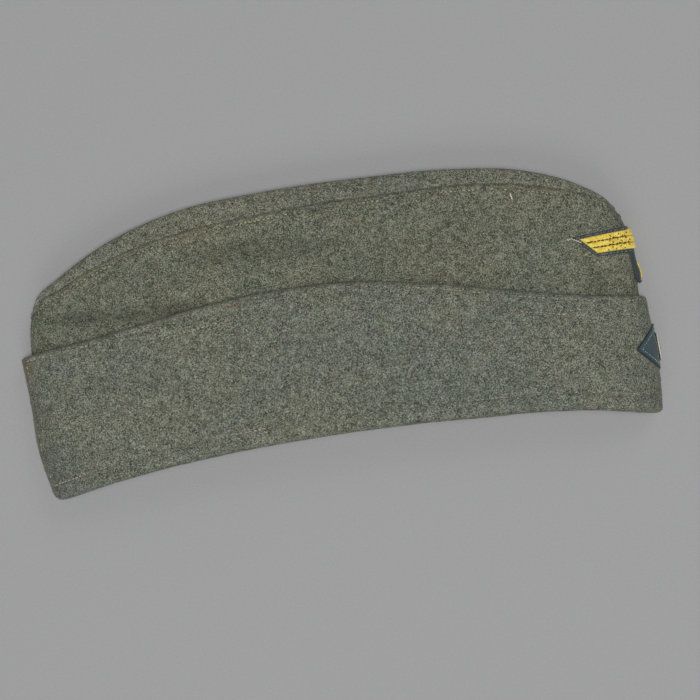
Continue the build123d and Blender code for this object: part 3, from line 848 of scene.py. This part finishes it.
def lining_crown_grid():
    """The lining's own crown: from one lining's upper edge under the wool valley to the other's."""
    use = slice(22, -22)
    right, left = lining_tops[0][use], lining_tops[1][use]
    middle_y = (right[:, 1] + left[:, 1]) / 2
    share = np.linspace(0, 1, 26)[:, None, None]
    grid = right + (left - right) * share
    hang = np.sin(share * math.pi)
    inward = unit(np.stack([-right[:, 0] * 0.35, -np.abs(middle_y) - 20, 0 * middle_y], -1))
    grid = grid + inward[None] * 2.4 * hang
    grid[..., 1] += 0.35 * noise(grid * (1, 1, 0.5), 6, 71) * hang[..., 0]
    return grid


crown_lining = cloth("lining_crown_cotton", lining_crown_grid(), LINING, cotton_lining,
                     ["lining_crown"], sign=-1)


def band_grid(side):
    """The facing band inside the head opening, over the rolled edge and the lining's lower edge."""
    across = np.sin(np.linspace(-1, 1, 300) * math.pi / 2) * 0.99
    y = base_edge(across * 140.0) + 7.5 + 18.0 * np.linspace(0, 1, 40)[:, None]
    across = np.broadcast_to(across, y.shape)
    x = across * (reach("body", across, y) - 1.0)
    face = body_surface(side, x, y)
    n = normals_of(face) * side
    p = layer(side, x, y, 30.0)
    depth = closing("body", side, x, y, 4.6 - 1.2 * smooth((y - base_edge(x) - 12) / 6))
    depth = depth + 0.15 * noise(p * (1, 0.5, 1), 8, 81)
    return face - n * depth[..., None]


for name, side in SIDES.items():
    band = cloth(f"facing_band_{name}_cotton", band_grid(side), BAND, cotton_band,
                 [f"inner_band_{name}"], sign=side)

# ------------------------------------------------------------------ stitching
rng = np.random.default_rng(8)


def on_surface(surface, side, x, y):
    """A path on a surface and its outward normals."""
    return surface(side, x, y), normal_at(surface, side, x, y)


def sew(name, paths, pitch, length, radius, material, replaces=(), bright=None, keep=0.97):
    """One piece with all the stitches of some rows, a few of them missing."""
    parts, places = [], []
    for path, normals in paths:
        more, where = stitch_parts(path, normals, pitch, length, radius, rng)
        for part, place in zip(more, where):
            if rng.random() < keep:
                parts.append(part)
                places.append(place)
    places = np.array(places)
    worth = rng.uniform(0.1, 0.75, len(parts)) + 0.4 * noise(places, 13, 31)
    if bright is not None:
        worth = np.clip(worth + bright(places[:, 0], places[:, 1]), 0, 1)
    # Every stitch is darker towards its ends, where it dips into the cloth: painted shade
    sunk = np.array([-0.6, -0.1, 0.0, 0.0, -0.1, -0.6])
    return add_tubes(name, parts, material, replaces, worth[:, None] + sunk)


def crown_row(side):
    """The line of the topstitching along the crown seam, and its normals."""
    x, y, into_x, into_y = outline_at(np.linspace(0.08, 0.93, 1200))
    inset = seam_inset(x) + SEAM_ROW
    use = (seam_inset(x) > 1.2) & (y > STRIP_FOOT)
    return on_surface(body_surface, side, (x + into_x * inset)[use], (y + into_y * inset)[use])


def cuff_row(edge, offset):
    """Makes a row on one side of the turn-up, an offset above one of its edges."""
    def row(side):
        x = np.linspace(-144.6, 144.0, 1300)
        y = edge(x) + offset
        keep = np.abs(x) < reach("cuff", x, y) - 1.6
        return on_surface(cuff_surface, side, x[keep], y[keep])

    return row


def back_row(side):
    """The line of the stitching along the turn-up's back end, and its normals."""
    y = np.linspace(base_edge(-143.0) + 6, cuff_edge(-146.0) - 3, 300)
    return on_surface(cuff_surface, side, -(cuff_back(y) - BACK_ROW), y)


STITCH, PITCH, THREAD = 1.5, 2.15, 0.24      # a stitch's length, the way to the next one, its radius


def sew_both(name, stands_for, row, bright):
    """A row of ochre stitches on both sides of the cap, brighter here and there."""
    sew(name, [row(side) for side in SIDES.values()], PITCH, STITCH, THREAD, ochre,
        [stands_for], bright)


sew_both("crown_stitches", "crown_stitching", crown_row, lambda x, y: 0.22 + 0.3 * bell(x + 24, 13))
# Short dark stitches in the gaps of the crown row stand in for the shade between its stitches
between = [(path[5:], normals[5:]) for path, normals in map(crown_row, SIDES.values())]
sew("crown_gap_shade_stitches", between, PITCH, 0.7, 0.22, dark_thread, keep=0.8)
sew_both("turn_up_edge_stitches", "turn_up_edge_stitching", cuff_row(cuff_edge, -EDGE_ROW), lambda x, y: 0.12)
sew_both("turn_up_hem_stitches", "turn_up_hem_stitching", cuff_row(cuff_edge, -HEM_ROW),
         lambda x, y: 0.3 * bell(x + 70, 22) - 0.1)
sew_both("lower_edge_stitches", "base_stitching", cuff_row(base_edge, BASE_ROW),
         lambda x, y: 0.8 * bell(x + 129, 9) + 0.5 * bell(x + 48, 14) - 0.1)
sew_both("back_seam_stitches", "back_seam_stitching", back_row,
         lambda x, y: 0.3 * smooth((y + 12) / 10) - 0.15)

# ------------------------------------------------------------------ badges on the front end
NOSE_BACK = 104.0                           # how far back the sections of the front end reach, mm
sections = {}


def nose_section(surface, y):
    """The cap's front end cut at height y: points by how far round the nose they lie, + on top, - under."""
    key = (surface.__name__, round(float(y), 1))
    if key not in sections:
        kind = "cuff" if surface is cuff_surface else "body"
        far = float(reach(kind, np.array(1.0), np.array(key[1])))
        x = NOSE_BACK + (far * 0.99999 - NOSE_BACK) * np.sin(np.linspace(0, 1, 260) * math.pi / 2)
        ys = np.full_like(x, key[1])
        top, under = surface(TOP, x, ys), surface(UNDER, x, ys)
        top[-1, 2] = under[-1, 2] = SEAM_Z
        points = np.vstack([under, top[::-1][1:]])
        along = lengths(points)
        sections[key] = along - along[len(under) - 1], points
    return sections[key]


def round_nose(surface, y, arc):
    """Points on the front end at heights y and distances arc round the nose."""
    y, arc = np.broadcast_arrays(np.asarray(y, float), np.asarray(arc, float))
    key = np.round(y.ravel(), 1)
    out = np.empty((y.size, 3))
    for value in np.unique(key):
        here = key == value
        along, points = nose_section(surface, value)
        out[here] = np.stack([np.interp(arc.ravel()[here], along, points[:, i]) for i in range(3)], -1)
    out[:, 1] = y.ravel()
    return out.reshape(*y.shape, 3)


def arc_back_to(surface, side, y, x):
    """How far round the nose a plan point (x, y) lies."""
    along, points = nose_section(surface, y)
    half = along >= 0 if side == TOP else along <= 0
    order = np.argsort(points[half, 0])
    return float(np.interp(x, points[half, 0][order], along[half][order]))


def lift_grid(grid, height):
    """A grid on the front end moved outwards by a height in mm."""
    return grid - normals_of(grid) * np.broadcast_to(height, grid.shape[:2])[..., None]


def slab(outer, inner):
    """Points and faces of a closed solid between two grids of the same shape."""
    r, c = outer.shape[:2]
    over = grid_faces(r, c).tolist()
    under = [[corner + r * c for corner in quad[::-1]] for quad in over]
    rim = [*range(c), *(i * c + c - 1 for i in range(1, r)), *(r * c - 1 - i for i in range(1, c)),
           *(i * c for i in range(r - 2, 0, -1))]
    ahead = rim[1:] + rim[:1]
    walls = [[b, a, a + r * c, b + r * c] for a, b in zip(rim, ahead)]
    return np.vstack([outer.reshape(-1, 3), inner.reshape(-1, 3)]), over + under + walls


BADGE_FOOT, BADGE_TOP = 12.4, 24.3          # the badge's lowest and highest points, mm
BADGE_REAR_FOOT, BADGE_REAR_TIP = 124.8, 114.2
BADGE_MARGIN = 1.35
BADGE_TAPER, BADGE_NOSE = 0.075, 142.0      # how much it narrows to the rear of x = BADGE_NOSE, mm per mm
BARS = 3


def badge_rear(y, margin=0.0):
    """x of the badge's slanting rear edge."""
    share = (y - BADGE_FOOT) / (BADGE_TOP - BADGE_FOOT)
    return BADGE_REAR_FOOT + (BADGE_REAR_TIP - BADGE_REAR_FOOT) * share + margin * 1.45


def tapered(x, y):
    """Heights on the badge, lowered towards its rear in proportion to their place across it."""
    share = np.clip((y - BADGE_FOOT) / (BADGE_TOP - BADGE_FOOT), 0, 1)
    return y - BADGE_TAPER * share * (BADGE_NOSE - x)


def badge_grid(sides, low, high, margin, rows, columns):
    """A strip of the badge between two heights, on one side of the nose or right round it."""
    y_rows = np.linspace(low, high, rows)
    arcs = []
    for y in y_rows:
        top, under = [arc_back_to(body_surface, side, y, badge_rear(y, margin)) for side in (TOP, UNDER)]
        ends = {"both": (under, top), "right": (0.02, top), "left": (under, -0.02)}[sides]
        arcs.append(np.linspace(*ends, columns))
    arcs = np.array(arcs)
    straight = round_nose(body_surface, y_rows[:, None], arcs)
    return round_nose(body_surface, tapered(straight[..., 0], straight[..., 1]), arcs), arcs


backing, _ = badge_grid("both", BADGE_FOOT, BADGE_TOP, 0.0, 26, 160)
badge_cloth = cloth("emblem_backing_cloth", lift_grid(backing, 0.85), 0.8, teal,
                    ["emblem_backing"], sign=-1)


def satin_bar(name, low, high, number):
    """One embroidered bar: slanting threads packed side by side over a rounded core."""
    columns = 190
    grid, arcs = badge_grid(name, low, high, BADGE_MARGIN, 15, columns)
    across = np.linspace(-1, 1, 15)[:, None]
    from_rear = (columns - 1 - np.arange(columns) if name == "right" else np.arange(columns))[None]
    ridge = np.sin((arcs + 0.30 * across * (high - low)) * 2 * math.pi / 1.25 + number)
    blunt = 4.0 + 8 * smooth(1 - np.abs(arcs) / 5)
    core = np.sqrt(1 - np.abs(across) ** blunt) * np.sqrt(np.clip(from_rear / 5, 0, 1))
    ragged = noise(grid + 20 * number, 1.1, 91) + 0.7 * noise(grid, 0.6, 92)
    height = 0.9 + (0.90 + 0.17 * ridge + 0.17 * ragged) * core
    # The thread's colour follows its relief: lighter on the ridges and ragged bumps, darker towards the bar's
    # rounded edges, as painted highlight and shade over the thread's own uneven colour
    worth = 0.74 + 0.16 * ridge + 0.26 * ragged - 0.22 * np.abs(across) ** 5
    return slab(lift_grid(grid, height), lift_grid(grid, 0.5)), np.tile(worth.ravel(), 2)


bar_low, bar_high = BADGE_FOOT + BADGE_MARGIN, BADGE_TOP - BADGE_MARGIN
bar_step = (bar_high - bar_low) / BARS
for name in SIDES:
    bars = [satin_bar(name, bar_low + i * bar_step + 0.02, bar_low + (i + 1) * bar_step - 0.02, i)
            for i in range(BARS)]
    add_tubes(f"emblem_bars_{name}_thread", [bar for bar, _ in bars], yellow,
              [f"emblem_bars_{name}"], worth=[worth for _, worth in bars])


def short_stitch(side, x, y, angle, length, lift, radius):
    """One arched stitch on the badge, centred at plan point (x, y)."""
    share = np.linspace(-0.5, 0.5, 6)
    xs, ys = x + math.cos(angle) * length * share, y + math.sin(angle) * length * share
    up = normal_at(body_surface, side, xs, ys)
    path = body_surface(side, xs, ys) + up * (lift + 0.35 * np.cos(share * math.pi) - 0.2)[:, None]
    return tube_parts(path, up, radius * (0.5 + 0.5 * np.cos(share * math.pi)), 6)


# Dark stitches between the bars and over their front third, cream knots at the rear tip, and grey and green
# stitches over the badge's edge
dark, knots, edging = [], [], []
for side in SIDES.values():
    for line in (1, 2):
        y = bar_low + line * bar_step
        for x in np.arange(badge_rear(y, BADGE_MARGIN) + 1.5, 140.8, 1.75):
            dark.append(short_stitch(side, x + rng.uniform(-0.3, 0.3), tapered(x, y) + rng.uniform(-0.2, 0.2),
                                     rng.uniform(-0.2, 0.3), rng.uniform(0.9, 1.8), 1.65, 0.34))
    for number, x in enumerate(np.arange(130.5, 141.0, 0.55)):
        y = bar_low + 0.6 + (number * 2.3) % (bar_high - bar_low - 1.2)
        slant = 0.8 if number % 3 else -0.7
        dark.append(short_stitch(side, x, tapered(x, y), slant, rng.uniform(0.7, 1.4), 1.9, 0.24))
    for line in (BADGE_FOOT + 0.55, BADGE_TOP - 0.6):
        for x in np.arange(badge_rear(line) + 0.8, 141.4, 0.5):
            edging.append(short_stitch(side, x, tapered(x, line), 0.75, rng.uniform(0.9, 1.3), 0.95, 0.19))
    for y in np.arange(BADGE_FOOT + 0.8, BADGE_TOP - 0.4, 0.5):
        x = badge_rear(y) + 0.9
        edging.append(short_stitch(side, x, tapered(x, y), 0.2, rng.uniform(0.9, 1.3), 0.95, 0.19))
    for share in np.linspace(0.0, 1.0, 7):
        x = 112.8 + 5.4 * share
        y = BADGE_TOP - 2.3 - 2.2 * share ** 1.5 + rng.uniform(-0.35, 0.35)
        lift = 1.0 if x > 114.5 else 0.3
        knots.append(short_stitch(side, x, y, rng.uniform(-0.9, 0.4), rng.uniform(0.7, 1.3), lift, 0.3))
add_tubes("emblem_dark_stitches", dark, dark_thread, worth=rng.uniform(0.1, 0.9, len(dark)))
add_tubes("emblem_edge_stitches", edging, edge_thread,
          worth=rng.uniform(0.0, 1.0, len(edging)))
add_tubes("emblem_cream_knots", knots, cream)

# A loose end of pale thread on the crown seam's stitching
loose_x = 89.4 + np.array([0.0, 0.25, 0.1, 0.55, 0.5, 0.9])
loose_y = 47.2 - np.array([0.0, 0.6, 1.2, 1.7, 2.4, 2.9])
loose_up = normal_at(body_surface, TOP, loose_x, loose_y)
loose = body_surface(TOP, loose_x, loose_y) + loose_up * np.array([0.2, 0.6, 0.8, 0.7, 0.6, 0.2])[:, None]
add_tubes("crown_loose_thread", [tube_parts(loose, loose_up, 0.26, 6)], cream, worth=[0.9])

# Tab down the front end, with two dark stitched lines, and a plain short bar on it that faces forwards
TAB_FOOT, TAB_TOP, TAB_COLUMNS = -2.4, 13.4, 60


def tab_seat(y):
    """How far the tab's face stands off the body in its middle, a column."""
    return (0.95 + 1.2 * bell(y - 1.6, 5.0))[:, None]


def tab_grid():
    """The tab's outer face, rounded at its foot and wider at its top."""
    y = np.linspace(TAB_FOOT, TAB_TOP, 44)
    half = 5.4 * np.sqrt(np.clip(1 - np.clip((TAB_FOOT + 2.6 - y) / 2.7, 0, 1) ** 2, 0.05, 1))
    half = half + 1.6 * smooth((y - 10.0) / 3.0)
    across = np.linspace(-1, 1, TAB_COLUMNS)[None]
    bulge = (tab_seat(y) - 0.95) * (1 - 0.45 * across ** 2)
    return lift_grid(round_nose(body_surface, y[:, None], half[:, None] * across), 0.95 + bulge)


tab = tab_grid()
tab_cloth = cloth("emblem_tab_cloth", tab, 0.9, teal, ["emblem_tab"], sign=-1)
tab_normals = -normals_of(tab)
sew("emblem_tab_stitches", [(tab[:, i], tab_normals[:, i]) for i in (7, TAB_COLUMNS - 8)], 1.25, 0.95, 0.24,
    teal_cord)


def short_bar():
    """The short bar's solid, and its worth."""
    across = np.linspace(-1, 1, 9)
    y = np.linspace(-0.3, 7.3, 90)
    base = round_nose(body_surface, y[:, None], 1.3 * across[None])
    ends = np.sqrt(np.clip(np.minimum(y - y[0], y[-1] - y) / 0.8, 0, 1))[:, None]
    ridge = np.sin(y * 7.5)[:, None] + noise(base, 0.8, 93)
    core = np.sqrt(1 - np.abs(across) ** 2.4)[None] * ends * (1 + 0.16 * ridge)
    outer = lift_grid(base, tab_seat(y) + 0.05 + 0.55 * core)
    # Its colour is lighter on the ridges: painted highlight over the thread's own colour
    return slab(outer, lift_grid(base, tab_seat(y) - 0.3)), np.tile((0.6 + 0.2 * ridge).ravel(), 2)


bar, bar_worth = short_bar()
add_tubes("emblem_short_bar_thread", [bar], yellow, ["emblem_short_bar"], worth=[bar_worth])

# Rosette on its diamond of blue cloth, round the turn-up's front end
DIAMOND_HALF = 10.6
DIAMOND_TIP_X, DIAMOND_FRONT_X = 136.4, 147.6


def diamond_arc(side, y, shrink):
    """How far round the nose the diamond's edge lies at height y; its edges are straight in plan."""
    share = 1 - abs(y - ROSETTE_Y) / (DIAMOND_HALF - shrink)
    deep = DIAMOND_FRONT_X - DIAMOND_TIP_X - shrink * 1.5
    x = DIAMOND_FRONT_X - deep * np.clip(share, 0, 1)
    return arc_back_to(cuff_surface, side, y, x)


def diamond_grid(rows, columns):
    """The diamond's grid round the nose."""
    y_rows = ROSETTE_Y + DIAMOND_HALF * np.linspace(-0.985, 0.985, rows)
    arcs = [np.linspace(min(diamond_arc(UNDER, y, 0.0), -0.4), max(diamond_arc(TOP, y, 0.0), 0.4), columns)
            for y in y_rows]
    return round_nose(cuff_surface, y_rows[:, None], np.array(arcs))


diamond_cloth = cloth("rosette_diamond_cloth", lift_grid(diamond_grid(61, 90), 0.62), 0.55, teal_blue,
                      ["rosette_backing"], sign=-1)


def diamond_path(shrink, lift):
    """A path round the diamond, shrink mm inside its edge, and its outward normals."""
    rise = np.linspace(-0.97, 0.97, 100)
    y = ROSETTE_Y + (DIAMOND_HALF - shrink) * np.concatenate([rise, rise[::-1]])
    sides = [TOP] * len(rise) + [UNDER] * len(rise)
    arcs = np.array([diamond_arc(side, height, shrink) for side, height in zip(sides, y)])
    before, here, after = [round_nose(cuff_surface, y, arcs + step) for step in (-0.3, 0.0, 0.3)]
    up = unit(np.cross(after - before, (0.0, 1.0, 0.0)))
    up[up[:, 0] < -0.2] *= -1
    return here + up * lift, up


rim, rim_up = diamond_path(0.2, 0.45)
add_tubes("rosette_diamond_rim", [tube_parts(rim, rim_up, 0.52, 6, 0.9, closed=True)], teal_cord)
closed_row = [np.vstack([points, points[:1]]) for points in diamond_path(1.7, 0.74)]
sew("rosette_diamond_stitches", [closed_row], 1.5, 0.95, 0.24, teal_light)

DISC_X = float(cuff_front(np.array(ROSETTE_Y))) + 0.75      # where the rosette's back plane stands
DISC_LEAN, DISC_BEND = 0.045, 0.012                         # it follows the front edge's slope and curve
SCALLOPS = 18


def disc_grid(radius, rings, height_at, spokes=72, wave=0.0):
    """Rings of points of a round patch that faces forwards; height_at(share) is its height."""
    share = np.linspace(0.02, 1, rings)[:, None]
    turn = (np.arange(spokes) * 2 * math.pi / spokes)[None]
    y, z = radius * share * np.sin(turn), radius * share * np.cos(turn)
    x = DISC_X - DISC_LEAN * y - DISC_BEND * z * z + height_at(share) + wave * share * np.cos(SCALLOPS * turn)
    return np.stack([x, ROSETTE_Y + y, SEAM_Z + z], -1)


def add_patch(name, outer, inner, stands_for, worth):
    """A round cream patch between its outer and inner rings of points."""
    rings, spokes = outer.shape[:2]
    half = rings * spokes
    index = np.arange(half).reshape(rings, spokes)
    index = np.hstack([index, index[:, :1]])
    outside = quads(index)
    inside = [[corner + half for corner in quad[::-1]] for quad in outside]
    rim = quads(np.stack([index[-1], index[-1] + half]))
    centre = [index[0, :spokes].tolist()[::-1], (index[0, :spokes] + half).tolist()]
    points = np.vstack([outer.reshape(-1, 3), inner.reshape(-1, 3)])
    add_tubes(name, [(points, outside + inside + rim + centre)], cream, [stands_for],
              worth=[worth])


def add_ring(name, radius, height, thickness, replaces=()):
    """A teal cord round the rosette."""
    ring = disc_grid(radius, 2, lambda share: height)[-1]
    forwards = np.broadcast_to(np.array([1.0, 0, 0]), ring.shape)
    add_tubes(name, [tube_parts(ring, forwards, thickness, 8, closed=True)], teal_cord,
              replaces)


def dome_height(share):
    """The disc rises to its middle, with a groove under the ring."""
    return 0.25 + 0.95 * np.sqrt(1 - 0.98 * share ** 3) - 0.25 * bell(share - 0.78, 0.08)


add_patch("rosette_disc_cloth", disc_grid(ROSETTE_RADIUS, 16, dome_height, wave=0.05),
          disc_grid(ROSETTE_RADIUS, 16, lambda share: -0.6), "rosette_disc", 0.9)
add_ring("rosette_ring_cord", ROSETTE_RADIUS * 0.78, 0.66, 0.28, ["rosette_ring"])
# A dark cord round the disc's base stands in for the shadow line between the diamond and the disc
add_ring("rosette_shadow_cord", ROSETTE_RADIUS + 0.15, -0.15, 0.36)
knot = disc_grid(2.5, 9, lambda share: 0.9 + 0.55 * np.sqrt(1 - 0.96 * share ** 2), 40)
add_patch("rosette_boss_knot", knot, disc_grid(2.5, 9, lambda share: 0.5, 40), "rosette_boss", 0.6)

# ------------------------------------------------------------------ loose fibres on the wool
def fibre_parts(grid, sign, count, seed):
    """Short curved fibres that lie on the cloth and lift a little from it."""
    dice = np.random.default_rng(seed)
    n = normals_of(grid) * sign
    size = np.cross(np.gradient(grid, axis=1), np.gradient(grid, axis=0))
    size = np.linalg.norm(size, axis=-1)[2:-2, 2:-2]
    picks = dice.choice(size.size, count, p=(size / size.sum()).ravel())
    i, j = np.unravel_index(picks, size.shape)
    i, j = i + 2, j + 2
    place = grid[i, j] + (grid[i + 1, j] - grid[i, j]) * dice.random((count, 1))
    place = place + (grid[i, j + 1] - grid[i, j]) * dice.random((count, 1))
    up = n[i, j]
    along = unit(grid[i, j + 1] - grid[i, j - 1])
    aside = np.cross(up, along)
    parts = []
    for k in range(count):
        angle = dice.uniform(0, 2 * math.pi)
        heading = along[k] * math.cos(angle) + aside[k] * math.sin(angle)
        bend = np.cross(up[k], heading) * dice.uniform(-0.5, 0.5)
        length = dice.uniform(0.7, 2.3)
        rise = dice.uniform(0.08, 0.30)
        share = np.linspace(0, 1, 4)[:, None]
        lift = rise * np.sin(share * dice.uniform(1.8, 3.0)) - 0.02
        path = place[k] + heading * length * share + bend * length * share ** 2 + up[k] * lift
        parts.append(tube_parts(path, up[k], dice.uniform(0.035, 0.065) * np.array([1, 1, 0.9, 0.5]), 3))
    return parts, dice.random(count)


def add_fibres(layer_name, grids, count, seed):
    """Loose fibres on both sides of a layer of wool; grids holds its grid and outward sign for each."""
    parts, worth = [], []
    for grid, sign in grids:
        more, values = fibre_parts(grid, sign, count, seed + len(parts))
        parts += more
        worth += list(values)
    add_tubes(f"{layer_name}_loose_fibres", parts, fibre, worth=worth)


ridge_part = (slice(RIDGE_ROW), slice(40, -40))
add_fibres("body", [(panel_grids[name], side) for name, side in SIDES.items()], 2600, 101)
add_fibres("crown", [(strip_grids[name][ridge_part], side) for name, side in SIDES.items()], 650, 102)
add_fibres("turn_up", [(cuff_faces[name], -side) for name, side in SIDES.items()], 2600, 103)

# ------------------------------------------------------------------ floor, light and camera
FLOOR_HALF = 2.0                # metres
floor_mesh = bpy.data.meshes.new("floor")
corners = [(-FLOOR_HALF, -FLOOR_HALF, 0), (FLOOR_HALF, -FLOOR_HALF, 0), (FLOOR_HALF, FLOOR_HALF, 0),
           (-FLOOR_HALF, FLOOR_HALF, 0)]
floor_mesh.from_pydata(corners, [], [(0, 1, 2, 3)])
floor = bpy.data.objects.new("floor", floor_mesh)
bpy.context.scene.collection.objects.link(floor)
board = Nodes("pale_board", roughness=0.95, specular=0.1)
grain = board.noise(1.1, 3.0, 0.7)
greys = board.ramp(grain, (0.3, (0.335, 0.335, 0.337, 1)), (0.7, (0.375, 0.375, 0.377, 1)))
floor_mesh.materials.append(board.finish(greys, grain, 0.05, 0.3))


def area_light(name, place, size, power):
    """A square lamp that is aimed at the cap; place and size in metres, power in watts."""
    light = bpy.data.lights.new(name, "AREA")
    light.shape, light.size, light.energy = "SQUARE", size, power
    lamp = bpy.data.objects.new(name, light)
    bpy.context.scene.collection.objects.link(lamp)
    lamp.location = place
    lamp.rotation_euler = (-Vector(place)).to_track_quat("-Z", "Y").to_euler()


area_light("key", (0.05, -0.12, 2.3), 0.55, 35)
area_light("side", (0.9, 1.1, 1.9), 1.0, 5)
area_light("front", (-0.3, -1.5, 1.3), 1.2, 8)
world = bpy.data.worlds.new("studio")
bpy.context.scene.world = world
world.use_nodes = True
background = world.node_tree.nodes["Background"].inputs
background["Color"].default_value = (1, 1, 1, 1)
background["Strength"].default_value = 0.12
bpy.context.scene.view_settings.view_transform = "Standard"

CAMERA_TURN = 8.1                # the cap's lower edge climbs to the right by this many degrees
VIEW_CENTRE = (5.4, -14.6)       # the point under the camera, mm
VIEW_WIDTH = 329.0               # what the picture spans there, mm
lens = bpy.data.cameras.new("camera")
lens.lens, lens.sensor_width = 100, 36
camera = bpy.data.objects.new("camera", lens)
bpy.context.scene.collection.objects.link(camera)
height = VIEW_WIDTH * lens.lens / lens.sensor_width + SEAM_Z
camera.location = (VIEW_CENTRE[0] * MM, VIEW_CENTRE[1] * MM, height * MM)
camera.rotation_euler = (0, 0, -math.radians(CAMERA_TURN))
bpy.context.scene.camera = camera
